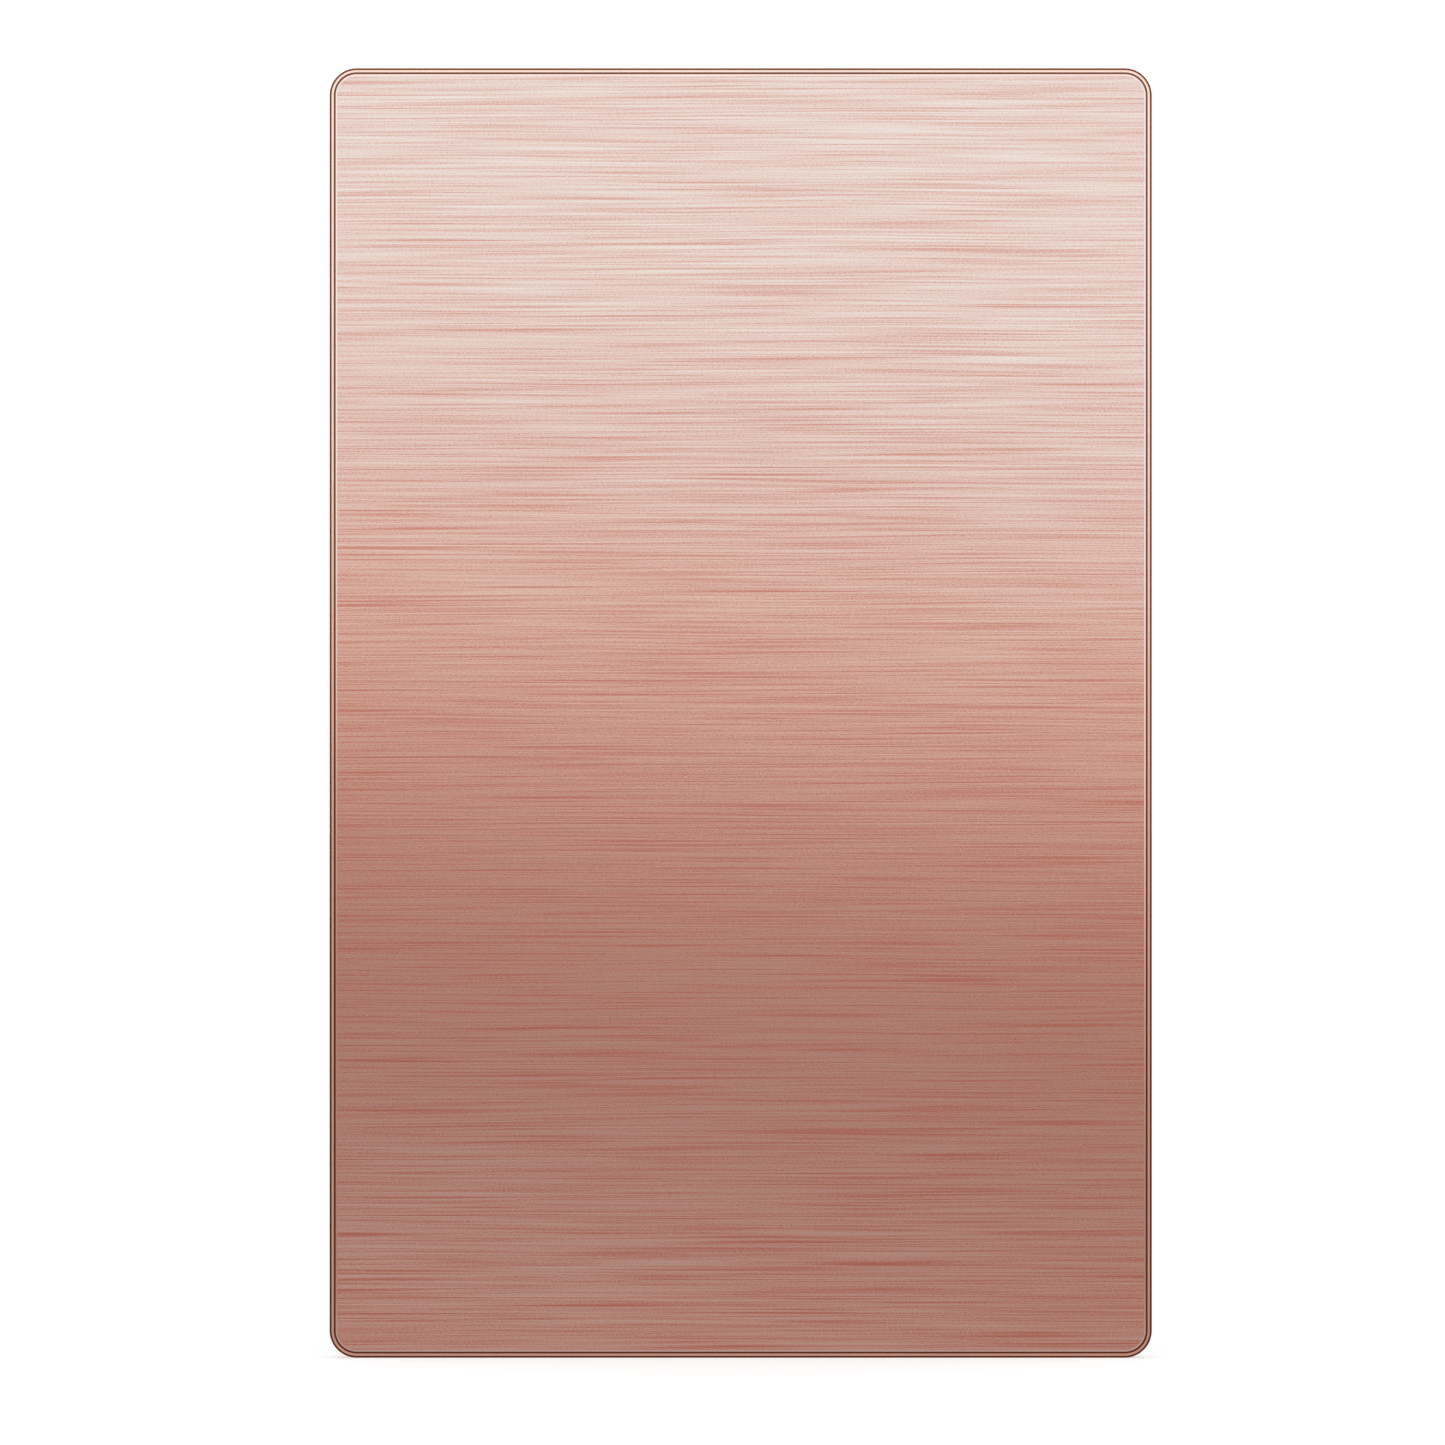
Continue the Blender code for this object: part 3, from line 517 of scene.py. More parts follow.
# A section object swept round an upright rounded rectangle
def sweepTree(sizes):
    tree, given, out = geometryTree("roundedSweep", sizes)
    size = given.outputs
    spans = {"Width": size["Width"], "Height": size["Height"]}
    outline = addNode(tree, "GeometryNodeCurvePrimitiveQuadrilateral", spans)
    corners = {"Curve": outline.outputs[0], "Count": size["Corner Points"], "Radius": size["Corner Radius"]}
    rounded = addNode(tree, "GeometryNodeFilletCurve", mode="POLY")
    for label, socket in corners.items():
        wire(tree, socket, rounded.inputs[label])
    section = addNode(tree, "GeometryNodeObjectInfo", {"Object": size["Section"]})
    paths = {"Curve": rounded.outputs[0], "Profile Curve": section.outputs["Geometry"]}
    swept = addNode(tree, "GeometryNodeCurveToMesh", paths)
    lift = addNode(tree, "ShaderNodeCombineXYZ", {"Z": size["Middle Height"]})
    turn = {"Geometry": swept.outputs[0], "Rotation": (math.pi / 2, 0, 0), "Translation": lift.outputs[0]}
    stood = addNode(tree, "GeometryNodeTransform", turn)
    finishTree(tree, stood.outputs[0], given, out)
    return tree


# Copies of one object in a straight centred row along X
def rowTree(sizes):
    tree, given, out = geometryTree("straightRow", sizes)
    size = given.outputs
    reach = calc(tree, "MULTIPLY", calc(tree, "SUBTRACT", size["Count"], 1.0), size["Pitch"])
    startX = calc(tree, "ADD", calc(tree, "MULTIPLY", reach, -0.5), size["Middle X"])
    ends = {"X": startX, "Y": size["Depth"], "Z": size["Height"]}
    start = addNode(tree, "ShaderNodeCombineXYZ", ends)
    step = addNode(tree, "ShaderNodeCombineXYZ", {"X": size["Pitch"]})
    places = {"Count": size["Count"], "Start Location": start.outputs[0], "Offset": step.outputs[0]}
    line = addNode(tree, "GeometryNodeMeshLine", places, mode="OFFSET")
    shape = addNode(tree, "GeometryNodeObjectInfo", {"Object": size["Shape"]})
    copies = {"Points": line.outputs[0], "Instance": shape.outputs["Geometry"]}
    placed = addNode(tree, "GeometryNodeInstanceOnPoints", copies)
    finishTree(tree, placed.outputs[0], given, out)
    return tree


portLine = -0.4 * mm
openings = {
    "keyClearance": 0.13 * mm,
    "keyHeight": 2.2 * mm,
    "powerHeight": 224.0 * mm,
    "powerLength": 10.6 * mm,
    "volumeHeight": 196.0 * mm,
    "volumeLength": 22.0 * mm,
    "trayHeight": 205.0 * mm,
    "trayLength": 16.5 * mm,
    "flare": 0.08 * mm,
    "portWidth": 9.3 * mm,
    "portHeight": 3.5 * mm,
    "soundCount": 5,
    "soundPitch": 4.2 * mm,
    "soundLength": 3.2 * mm,
    "soundHeight": 1.0 * mm,
    "soundX": 52.0 * mm,
    "microphoneTopX": 31.5 * mm,
    "microphoneBottomX": -20.0 * mm,
    "microphoneWidth": 1.0 * mm,
}


# Turns slot outlines into an edge wall: along names the edge's direction and sign says which way is out
def edgePlace(along, sign, origin):
    def place(a, b, depth):
        if along == "Z":
            return (origin[0] + sign * depth, origin[1] + b, origin[2] + a)
        return (origin[0] + a, origin[1] + b, origin[2] + sign * depth)
    return place


# A round-ended cutter with a flared mouth at its origin
def slotTool(length, height, flare, along, sign, origin):
    rings = []
    for grow, depth in ((flare, 0.6 * mm), (flare, 0.0), (0.0, -flare), (0.0, -4.0 * mm)):
        ring = roundedRing(length + 2 * grow, height + 2 * grow, height / 2 + grow - 0.005 * mm, 8)
        rings.append((ring, depth))
    return newObject("slotTool", loft("slotTool", rings, edgePlace(along, sign, origin)))


def soundTools():
    size = openings
    tools = []
    for z, sign in ((caseHigh.z, 1), (caseLow.z, -1)):
        slot = slotTool(size["soundLength"], size["soundHeight"], size["flare"], "X", sign, (0, 0, 0))
        for side in (-1, 1):
            # The slot walls take the painted-shade copper of the recesses
            sizes = {
                "Count": size["soundCount"],
                "Pitch": size["soundPitch"],
                "Middle X": side * size["soundX"],
                "Depth": portLine,
                "Height": z,
                "Shape": slot,
                "Finish": recessShadeMetal,
            }
            tools.append(grown("soundTool", rowTree, sizes))
        bpy.data.objects.remove(slot)
    return tools


def openingTools():
    size = openings
    gap = 2 * size["keyClearance"]
    flare = size["flare"]
    keyHeight = size["keyHeight"] + gap
    small = size["microphoneWidth"]
    power = (caseHigh.x, portLine, size["powerHeight"])
    volume = (caseHigh.x, portLine, size["volumeHeight"])
    tray = (caseLow.x, portLine, size["trayHeight"])
    tools = [
        slotTool(size["powerLength"] + gap, keyHeight, flare, "Z", 1, power),
        slotTool(size["volumeLength"] + gap, keyHeight, flare, "Z", 1, volume),
        slotTool(size["trayLength"] + gap, keyHeight, flare, "Z", -1, tray),
        slotTool(size["portWidth"], size["portHeight"], 0.2 * mm, "X", -1, (0, portLine, caseLow.z)),
        slotTool(small, small, flare, "X", 1, (size["microphoneTopX"], portLine, caseHigh.z)),
        slotTool(small, small, flare, "X", -1, (size["microphoneBottomX"], portLine, caseLow.z)),
    ]
    return tools + soundTools()


# How far inside the rounded outline a point lies
def edgeDistance(point):
    radius = coverSizes["cornerRadius"]
    across = abs(point.x) - (caseWidth / 2 - radius)
    along = abs(point.z - caseMiddle.z) - (caseHeight / 2 - radius)
    if across > 0 and along > 0:
        return radius - math.hypot(across, along)
    return radius - max(across, along)


def makeSideFrame():
    section = sectionCurve(bandSection())
    sizes = {
        "Width": caseWidth,
        "Height": caseHeight,
        "Corner Radius": coverSizes["cornerRadius"],
        "Corner Points": coverSizes["cornerSteps"],
        "Middle Height": caseMiddle.z,
        "Section": section,
        "Finish": rimMetal,
    }
    band = grown("rimBand", sweepTree, sizes)
    bpy.data.objects.remove(section)
    cut(band, openingTools())
    mesh = band.data
    if recessShadeMetal.name not in mesh.materials:
        mesh.materials.append(recessShadeMetal)
    recessShadeIndex = mesh.materials.find(recessShadeMetal.name)
    rim = bandSizes["outerRound"] + bandSizes["crest"] + 0.6 * bandSizes["innerRound"]
    # Faces inside the rim on the rear half take the painted shade of the groove
    for face in mesh.polygons:
        if face.center.y < 0 and edgeDistance(face.center) > rim:
            face.material_index = recessShadeIndex
    return shown(band, "casing", "polished_rim", "side_frame")


makeSideFrame()
print("side frame made")

# Keys: flush caps with softened edges, a flange behind the wall and a nub for each switch
keySizes = {
    "recess": 0.05 * mm,
    "softEdge": 0.16 * mm,
    "flangeFace": caseHigh.x - 1.65 * mm,
    "flangeThickness": 0.6 * mm,
    "flangeMargin": 0.6 * mm,
    "flangeHeight": 2.7 * mm,
    "nubReach": 0.4 * mm,
    "switchOffset": 8.5 * mm,
}


# A round-ended cap whose outer face has a soft edge; sign is +1 on the right edge
def capMesh(length, sign, surface, depth, middleZ):
    soft = keySizes["softEdge"]
    height = openings["keyHeight"]
    rings = []
    steps = [(soft, 0.0), (soft * 0.5, soft * 0.1), (soft * 0.13, soft * 0.45), (0.0, soft)]
    for inset, down in steps + [(0.0, depth)]:
        ring = roundedRing(length - 2 * inset, height - 2 * inset, height / 2 - inset - 0.01 * mm, 10)
        rings.append((ring, -down))
    return loft("cap", rings, edgePlace("Z", sign, (surface, portLine, middleZ)), 50)


def makeKey(name, body, length, middleZ, nubs):
    size = keySizes
    surface = caseHigh.x - size["recess"]
    inner = size["flangeFace"] - size["flangeThickness"]
    meshes = [capMesh(length, 1, surface, surface - size["flangeFace"] + 0.2 * mm, middleZ)]
    half = length / 2 + size["flangeMargin"]
    tall = size["flangeHeight"] / 2
    low = (inner, portLine - tall, middleZ - half)
    high = (size["flangeFace"], portLine + tall, middleZ + half)
    meshes.append(block(low, high, 0.1 * mm))
    for offset in nubs:
        low = (inner - size["nubReach"], portLine - 0.8 * mm, middleZ + offset - 1.1 * mm)
        high = (inner + 0.1 * mm, portLine + 0.8 * mm, middleZ + offset + 1.1 * mm)
        meshes.append(block(low, high, 0.12 * mm))
    key = newObject(name, joined(name, meshes), rimMetal)
    return shown(key, body, "polished_rim", body)


switchOffset = keySizes["switchOffset"]
makeKey("powerKey", "power_button", openings["powerLength"], openings["powerHeight"], (0,))
volumeNubs = (-switchOffset, switchOffset)
makeKey("volumeKey", "volume_rocker", openings["volumeLength"], openings["volumeHeight"], volumeNubs)

# Card tray: a head like the keys with a pinhole, and a carrier with its pocket
traySizes = {
    "headDepth": 1.4 * mm,
    "carrierMiddle": 204.1 * mm,
    "carrierWidth": 12.4 * mm,
    "carrierThickness": 0.9 * mm,
    "carrierEnd": -60.1 * mm,
    "pocketWidth": 11.2 * mm,
    "pocketLength": 15.2 * mm,
    "pocketFloor": 0.25 * mm,
    "windowMargin": 2.0 * mm,
    "pinRadius": 0.45 * mm,
    "pinHeight": 211.6 * mm,
}


def makeTray():
    size = traySizes
    surface = caseLow.x + keySizes["recess"]
    cap = capMesh(openings["trayLength"], -1, surface, size["headDepth"], openings["trayHeight"])
    head = newObject("trayHead", cap)
    pin = size["pinRadius"]
    rings = [
        (circleRing(pin + 0.1 * mm, 24), 0.5 * mm),
        (circleRing(pin + 0.1 * mm, 24), 0.0),
        (circleRing(pin, 24), -0.1 * mm),
        (circleRing(pin, 24), -3.0 * mm),
    ]
    hole = loft("pinTool", rings, edgePlace("Z", -1, (surface, portLine, size["pinHeight"])))
    cut(head, [newObject("pinTool", hole)])
    half = size["carrierThickness"] / 2
    middle = size["carrierMiddle"]
    wide = size["carrierWidth"] / 2
    low = (surface + size["headDepth"] - 0.4 * mm, portLine - half, middle - wide)
    high = (size["carrierEnd"], portLine + half, middle + wide)
    carrier = newObject("trayCarrier", block(low, high, 0.08 * mm))
    pocketHigh = size["carrierEnd"] - 1.0 * mm
    pocketLow = pocketHigh - size["pocketLength"]
    reach = size["pocketWidth"] / 2
    margin = size["windowMargin"]
    pocketBottom = portLine + half - size["pocketFloor"]
    low = (pocketLow, portLine - 2 * mm, middle - reach)
    pocket = block(low, (pocketHigh, pocketBottom, middle + reach))
    inner = reach - 1.4 * mm
    low = (pocketLow + margin, portLine - 2 * mm, middle - inner)
    window = block(low, (pocketHigh - margin, portLine + 2 * mm, middle + inner), 0.3 * mm)
    cut(carrier, [newObject("pocketTool", pocket), newObject("windowTool", window)])
    mesh = joined("cardCarrier", [head.data, carrier.data])
    bpy.data.objects.remove(head)
    bpy.data.objects.remove(carrier)
    return shown(newObject("cardCarrier", mesh, rimMetal), "card_tray", "polished_rim", "card_tray")


makeTray()
print("keys and card tray made")

# Front glass: a black-printed sheet with a rounded edge and a clear spot over the camera
glassSizes = {
    "inset": 1.2 * mm,
    "back": 2.90 * mm,
    "cameraHeight": 241.6 * mm,
    "windowRadius": 1.55 * mm,
    "sensorX": 7.0 * mm,
    "activeWidth": 135.9 * mm,
    "activeHeight": 226.5 * mm,
}


def roundSpot(tree, place, x, z, radius, edge):
    moved = {0: place, 1: (-x, 0, -z)}
    shifted = addNode(tree, "ShaderNodeVectorMath", moved, operation="ADD").outputs[0]
    acrossAndUp = {0: shifted, 1: (1, 0, 1)}
    flat = addNode(tree, "ShaderNodeVectorMath", acrossAndUp, operation="MULTIPLY").outputs[0]
    length = addNode(tree, "ShaderNodeVectorMath", {0: flat}, operation="LENGTH").outputs["Value"]
    return remap(tree, length, radius, radius + edge, 1.0, 0.0)


def makeGlassMaterial():
    material, tree, shader, place = newMaterial("blackFrontGlass", IOR=1.5)
    shader.inputs["Specular IOR Level"].default_value = 0.5
    spots = axes(tree, place)
    fromCenter = calc(tree, "ABSOLUTE", spots["X"])
    acrossShare = calc(tree, "LESS_THAN", fromCenter, glassSizes["activeWidth"] / 2)
    fromMiddle = calc(tree, "ABSOLUTE", calc(tree, "SUBTRACT", spots["Z"], caseMiddle.z))
    alongShare = calc(tree, "LESS_THAN", fromMiddle, glassSizes["activeHeight"] / 2)
    active = calc(tree, "MULTIPLY", acrossShare, alongShare)
    dust = noise(tree, place, (700, 700, 700), 4.0, 0.7)
    smear = noise(tree, place, (16, 16, 11), 4.0, 0.6, (2, 0, 5))
    border = blendColor(tree, dust, (0.006, 0.006, 0.007), (0.011, 0.011, 0.012))
    screen = blendColor(tree, dust, (0.015, 0.016, 0.020), (0.022, 0.023, 0.028))
    color = blendColor(tree, active, border, screen)
    sensor = roundSpot(tree, place, glassSizes["sensorX"], glassSizes["cameraHeight"], 0.9 * mm, 0.1 * mm)
    wire(tree, blendColor(tree, sensor, color, (0.035, 0.022, 0.055)), shader.inputs["Base Color"])
    wire(tree, remap(tree, smear, 0.35, 0.75, 0.03, 0.13), shader.inputs["Roughness"])
    return material


def makeFrontGlass():
    size = glassSizes
    edge = size["inset"]
    back = size["back"]
    steps = [(0.05, back), (0.0, back + 0.05 * mm), (0.0, glassFace - 0.32 * mm)]
    steps += [(0.05, glassFace - 0.20 * mm), (0.20, glassFace - 0.10 * mm)]
    steps += [(0.50, glassFace - 0.035 * mm), (1.0, glassFace)]
    rings = [(outlineAt(edge + extra * mm), depth) for extra, depth in steps]
    glass = newObject("frontGlass", loft("frontGlass", rings, upright, 30), makeGlassMaterial())
    radius = size["windowRadius"]

    def cameraPlace(a, b, depth):
        return (a, depth, size["cameraHeight"] + b)

    rings = [(circleRing(radius, 48), back - 1 * mm), (circleRing(radius, 48), glassFace + 1 * mm)]
    cut(glass, [newObject("windowTool", loft("windowTool", rings, cameraPlace))])
    shown(glass, "casing", "front_glass", "cover_glass")
    clear, tree, shader, place = newMaterial("clearWindow", IOR=1.5, Roughness=0.0)
    shader.inputs["Transmission Weight"].default_value = 1.0
    dust = noise(tree, place, (900, 900, 900), 3.0, 0.7)
    wire(tree, blendColor(tree, dust, (0.93, 0.95, 0.97), (1, 1, 1)), shader.inputs["Base Color"])
    inner = radius - 0.004 * mm
    rings = [(circleRing(inner, 48), back + 0.02 * mm), (circleRing(inner, 48), glassFace)]
    window = newObject("cameraWindow", loft("cameraWindow", rings, cameraPlace), clear)
    shown(window, "casing", "front_glass", "cover_glass")


# Camera lens: a stepped black barrel with a coated dome at its middle
def makeLens():
    low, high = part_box("front_camera_lens")
    middle = (low + high) / 2
    barrel, tree, shader, place = newMaterial("lensBarrel", Metallic=0.2)
    rings = noise(tree, place, (2200, 2200, 2200), 3.0, 0.6)
    black = blendColor(tree, rings, (0.010, 0.010, 0.012), (0.026, 0.026, 0.030))
    wire(tree, black, shader.inputs["Base Color"])
    wire(tree, remap(tree, rings, 0.3, 0.7, 0.35, 0.55), shader.inputs["Roughness"])
    coated, tree, shader, place = newMaterial("coatedDome", Coat_Weight=1.0, Coat_Roughness=0.02)
    swirl = noise(tree, place, (500, 500, 500), 1.0, 0.5)
    violet = blendColor(tree, swirl, (0.012, 0.010, 0.030), (0.030, 0.016, 0.060))
    wire(tree, violet, shader.inputs["Base Color"])
    wire(tree, remap(tree, swirl, 0.3, 0.7, 0.04, 0.10), shader.inputs["Roughness"])

    def lensPlace(a, b, depth):
        return (middle.x + a, depth, middle.z + b)

    back = low.y
    front = high.y
    profile = [(1.60, back), (1.60, front - 0.08 * mm), (1.52, front), (1.20, front)]
    profile += [(1.12, front - 0.05 * mm)]
    profile += [(0.98, front - 0.28 * mm), (0.90, front - 0.28 * mm), (0.84, front - 0.42 * mm)]
    barrelMesh = loft("barrel", [(circleRing(r * mm, 40), depth) for r, depth in profile], lensPlace)
    dome = [(0.82, front - 0.45 * mm), (0.78, front - 0.36 * mm), (0.62, front - 0.27 * mm)]
    dome += [(0.38, front - 0.21 * mm), (0.12, front - 0.185 * mm)]
    domeMesh = loft("dome", [(circleRing(r * mm, 40), depth) for r, depth in dome], lensPlace, 60)
    lens = newObject("cameraLens", joined("cameraLens", [barrelMesh, domeMesh]), barrel)
    lens.data.materials.append(coated)
    for face in lens.data.polygons[len(barrelMesh.polygons):]:
        face.material_index = 1
    shown(lens, "casing", "lens", "front_camera_lens")


makeFrontGlass()
makeLens()
print("front glass and camera made")

# Woven dust screens behind the sound slots
screenSizes = {"pitch": 0.30 * mm, "wire": 0.11 * mm}


# Two crossed layers of straight wires
def wovenTree(sizes):
    tree, given, out = geometryTree("wovenScreen", sizes)
    size = given.outputs
    join = tree.nodes.new("GeometryNodeJoinGeometry")
    layers = (("Width", "Height", "X", "Z", -0.5), ("Height", "Width", "Z", "X", 0.5))
    for length, spread, lengthAxis, spreadAxis, side in layers:
        count = calc(tree, "FLOOR", calc(tree, "DIVIDE", size[spread], size["Pitch"]))
        reach = calc(tree, "MULTIPLY", calc(tree, "SUBTRACT", count, 1.0), size["Pitch"])
        thick = {axis: size["Wire"] for axis in "XYZ"}
        thick[lengthAxis] = size[length]
        box = addNode(tree, "ShaderNodeCombineXYZ", thick)
        bar = addNode(tree, "GeometryNodeMeshCube", {"Size": box.outputs[0]})
        depth = calc(tree, "MULTIPLY", size["Wire"], side)
        ends = {spreadAxis: calc(tree, "MULTIPLY", reach, -0.5), "Y": depth}
        start = addNode(tree, "ShaderNodeCombineXYZ", ends)
        step = addNode(tree, "ShaderNodeCombineXYZ", {spreadAxis: size["Pitch"]})
        places = {"Count": count, "Start Location": start.outputs[0], "Offset": step.outputs[0]}
        line = addNode(tree, "GeometryNodeMeshLine", places, mode="OFFSET")
        copies = {"Points": line.outputs[0], "Instance": bar.outputs[0]}
        wires = addNode(tree, "GeometryNodeInstanceOnPoints", copies)
        wire(tree, wires.outputs[0], join.inputs[0])
    finishTree(tree, join.outputs[0], given, out)
    return tree


def makeScreens(finish):
    for node in [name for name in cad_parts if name.startswith("speaker_mesh")]:
        low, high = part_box(node)
        middle = (low + high) / 2
        sizes = {
            "Width": high.x - low.x,
            "Height": high.y - low.y,
            "Pitch": screenSizes["pitch"],
            "Wire": screenSizes["wire"],
            "Finish": finish,
        }
        name = "dustScreen" + node.removeprefix("speaker_mesh").title().replace("_", "")
        screen = grown(name, wovenTree, sizes)
        screen.data.transform(Matrix.Translation(middle) @ Matrix.Rotation(math.pi / 2, 4, "X"))
        shown(screen, "casing", "mesh", node)


# Port tongue: a moulded core with a steel middle and a row of gold contacts on each side
tongueSizes = {
    "contactCount": 12,
    "contactPitch": 0.5 * mm,
    "contactWidth": 0.26 * mm,
    "contactLength": 3.2 * mm,
    "contactRise": 0.03 * mm,
}


def makeTongue(plastic, gold):
    low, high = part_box("usb_c_tongue")
    middle = (low + high) / 2
    size = tongueSizes
    core = newObject("portTongue", block(low, high, 0.1 * mm, 3), plastic)
    shown(core, "casing", "black_plastic", "usb_c_tongue")
    half = size["contactWidth"] / 2
    rise = size["contactRise"]
    contactLow = low.z + 0.7 * mm
    for side, depth in (("Rear", low.y), ("Front", high.y)):
        corner = (-half, -rise, contactLow)
        end = (half, rise, contactLow + size["contactLength"])
        shape = newObject("contact", block(corner, end, 0.02 * mm, 1))
        sizes = {
            "Count": size["contactCount"],
            "Pitch": size["contactPitch"],
            "Middle X": middle.x,
            "Depth": depth,
            "Height": 0.0,
            "Shape": shape,
            "Finish": gold,
        }
        row = grown("portContacts" + side, rowTree, sizes)
        bpy.data.objects.remove(shape)
        shown(row, "casing", "black_plastic", "usb_c_tongue")


# A finish with two tones, a roughness range and a fine bump, all from one noise
def twoTone(name, tones, rough, stretch, bump=0.0, detail=4.0, **fixed):
    material, tree, shader, place = newMaterial(name, **fixed)
    grain = noise(tree, place, stretch, detail, 0.6)
    share = remap(tree, grain, 0.3, 0.7)
    wire(tree, blendColor(tree, share, *tones), shader.inputs["Base Color"])
    wire(tree, remap(tree, grain, 0.3, 0.7, *rough), shader.inputs["Roughness"])
    if bump:
        bumpFrom(tree, grain, shader, bump, 0.5)
    return material


def makeBoardFinish():
    material, tree, shader, place = newMaterial("circuitBoard", Coat_Weight=0.3, Coat_Roughness=0.2)
    quarterTurn = {"Vector": place, "Rotation": (math.pi / 2, 0, 0)}
    turned = addNode(tree, "ShaderNodeMapping", quarterTurn).outputs[0]
    bricks = {"Vector": turned, "Scale": 260.0, "Mortar Size": 0.05}
    traces = addNode(tree, "ShaderNodeTexBrick", bricks)
    traces.offset = 0.37
    cells = {"Vector": place, "Scale": 620.0}
    pads = addNode(tree, "ShaderNodeTexVoronoi", cells, distance="CHEBYCHEV")
    islands = noise(tree, place, (90, 90, 90), 2.0, 0.5)
    dots = remap(tree, pads.outputs["Distance"], 0.16, 0.2, 1.0, 0.0)
    padShare = calc(tree, "MULTIPLY", dots, islands)
    mask = blendColor(tree, traces.outputs["Fac"], (0.010, 0.030, 0.045), (0.020, 0.060, 0.080))
    gilded = remap(tree, padShare, 0.5, 0.56)
    wire(tree, blendColor(tree, gilded, mask, (0.80, 0.62, 0.32)), shader.inputs["Base Color"])
    wire(tree, gilded, shader.inputs["Metallic"])
    wire(tree, remap(tree, islands, 0.3, 0.7, 0.30, 0.45), shader.inputs["Roughness"])
    bumpFrom(tree, traces.outputs["Fac"], shader, 0.00002, 0.5)
    return material


def makeFilmFinish():
    material, tree, shader, place = newMaterial("amberFilm", Coat_Weight=0.4, Coat_Roughness=0.15)
    lines = addNode(tree, "ShaderNodeTexWave", {"Vector": place, "Scale": 900.0, "Distortion": 0.0})
    lines.bands_direction = "X"
    cloud = noise(tree, place, (300, 300, 300), 3.0, 0.6)
    film = blendColor(tree, cloud, (0.30, 0.115, 0.020), (0.42, 0.180, 0.035))
    share = remap(tree, lines.outputs["Fac"], 0.45, 0.60, 0.0, 0.7)
    wire(tree, blendColor(tree, share, film, (0.62, 0.33, 0.14)), shader.inputs["Base Color"])
    wire(tree, remap(tree, cloud, 0.3, 0.7, 0.28, 0.42), shader.inputs["Roughness"])
    return material


def makeCellFinish():
    material, tree, shader, place = newMaterial("cellPouch", Metallic=0.85)
    crinkle = noise(tree, place, (240, 240, 240), 6.0, 0.65)
    quilt = addNode(tree, "ShaderNodeTexVoronoi", {"Vector": place, "Scale": 700.0}).outputs["Distance"]
    height = calc(tree, "ADD", crinkle, calc(tree, "MULTIPLY", quilt, 0.3))
    foil = blendColor(tree, crinkle, (0.42, 0.43, 0.45), (0.62, 0.63, 0.65))
    wire(tree, foil, shader.inputs["Base Color"])
    wire(tree, remap(tree, crinkle, 0.3, 0.7, 0.30, 0.48), shader.inputs["Roughness"])
    bumpFrom(tree, height, shader, 0.00005, 0.6)
    return material


# Two-tone finishes by slot: name, darker and paler tone, roughness range, grain, bump and any fixed sockets
innerLooks = {
    "adhesive": (
        "blackTape", ((0.012, 0.012, 0.013), (0.030, 0.030, 0.032)),
        (0.7, 0.9), (900, 900, 900), 0.00002, {},
    ),
    "panel": (
        "displayStack", ((0.016, 0.018, 0.022), (0.026, 0.029, 0.035)),
        (0.08, 0.16), (260, 260, 260), 0.0, {},
    ),
    "light_guide": (
        "diffuserFilm", ((0.72, 0.73, 0.74), (0.82, 0.83, 0.84)),
        (0.45, 0.6), (1200, 1200, 1200), 0.0, {},
    ),
    "plate_alloy": (
        "milledAlloy", ((0.50, 0.50, 0.51), (0.66, 0.66, 0.67)),
        (0.32, 0.46), (60, 60, 2600), 0.00001, {"Metallic": 1.0},
    ),
    "chip": (
        "chipEpoxy", ((0.016, 0.016, 0.017), (0.034, 0.034, 0.036)),
        (0.5, 0.65), (1600, 1600, 1600), 0.00001, {},
    ),
    "shield_steel": (
        "pressedSteel", ((0.52, 0.52, 0.50), (0.66, 0.66, 0.64)),
        (0.24, 0.38), (80, 2400, 2400), 0.00001, {"Metallic": 1.0},
    ),
    "graphite": (
        "graphiteSheet", ((0.05, 0.05, 0.055), (0.12, 0.12, 0.125)),
        (0.35, 0.55), (1500, 1500, 1500), 0.00002, {"Metallic": 0.6},
    ),
    "black_plastic": (
        "mouldedBlack", ((0.014, 0.014, 0.015), (0.026, 0.026, 0.028)),
        (0.42, 0.58), (2200, 2200, 2200), 0.00001, {},
    ),
    "mesh": (
        "coatedWire", ((0.030, 0.028, 0.028), (0.065, 0.060, 0.058)),
        (0.35, 0.5), (2500, 2500, 2500), 0.0, {"Metallic": 0.7},
    ),
    "lens": (
        "sensorWindow", ((0.020, 0.014, 0.034), (0.040, 0.026, 0.060)),
        (0.06, 0.14), (500, 500, 500), 0.0, {},
    ),
    "screw_steel": (
        "turnedSteel", ((0.46, 0.46, 0.47), (0.64, 0.64, 0.65)),
        (0.2, 0.34), (2600, 900, 900), 0.0, {"Metallic": 1.0},
    ),
}


def makeInnerFinishes():
    finishes = {"board": makeBoardFinish(), "cell_wrap": makeCellFinish(), "flex_film": makeFilmFinish()}
    for slotName, (name, tones, rough, stretch, bump, fixed) in innerLooks.items():
        finishes[slotName] = twoTone(name, tones, rough, stretch, bump, **fixed)
    return finishes


def paintInner(finishes):
    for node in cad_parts.values():
        for slot in node.material_slots:
            if slot.material.name in finishes:
                slot.material = finishes[slot.material.name]
            elif slot.material.name == "polished_rim":
                slot.material = rimMetal
            elif slot.material.name == "brushed_cover":
                slot.material = backMetal


innerFinishes = makeInnerFinishes()
goldTones = ((0.78, 0.56, 0.24), (0.90, 0.70, 0.36))
contactGold = twoTone("contactGold", goldTones, (0.16, 0.28), (2200,) * 3, Metallic=1.0)
paintInner(innerFinishes)
makeScreens(innerFinishes["mesh"])
makeTongue(innerFinishes["black_plastic"], contactGold)
print("inner finishes, screens and port made")

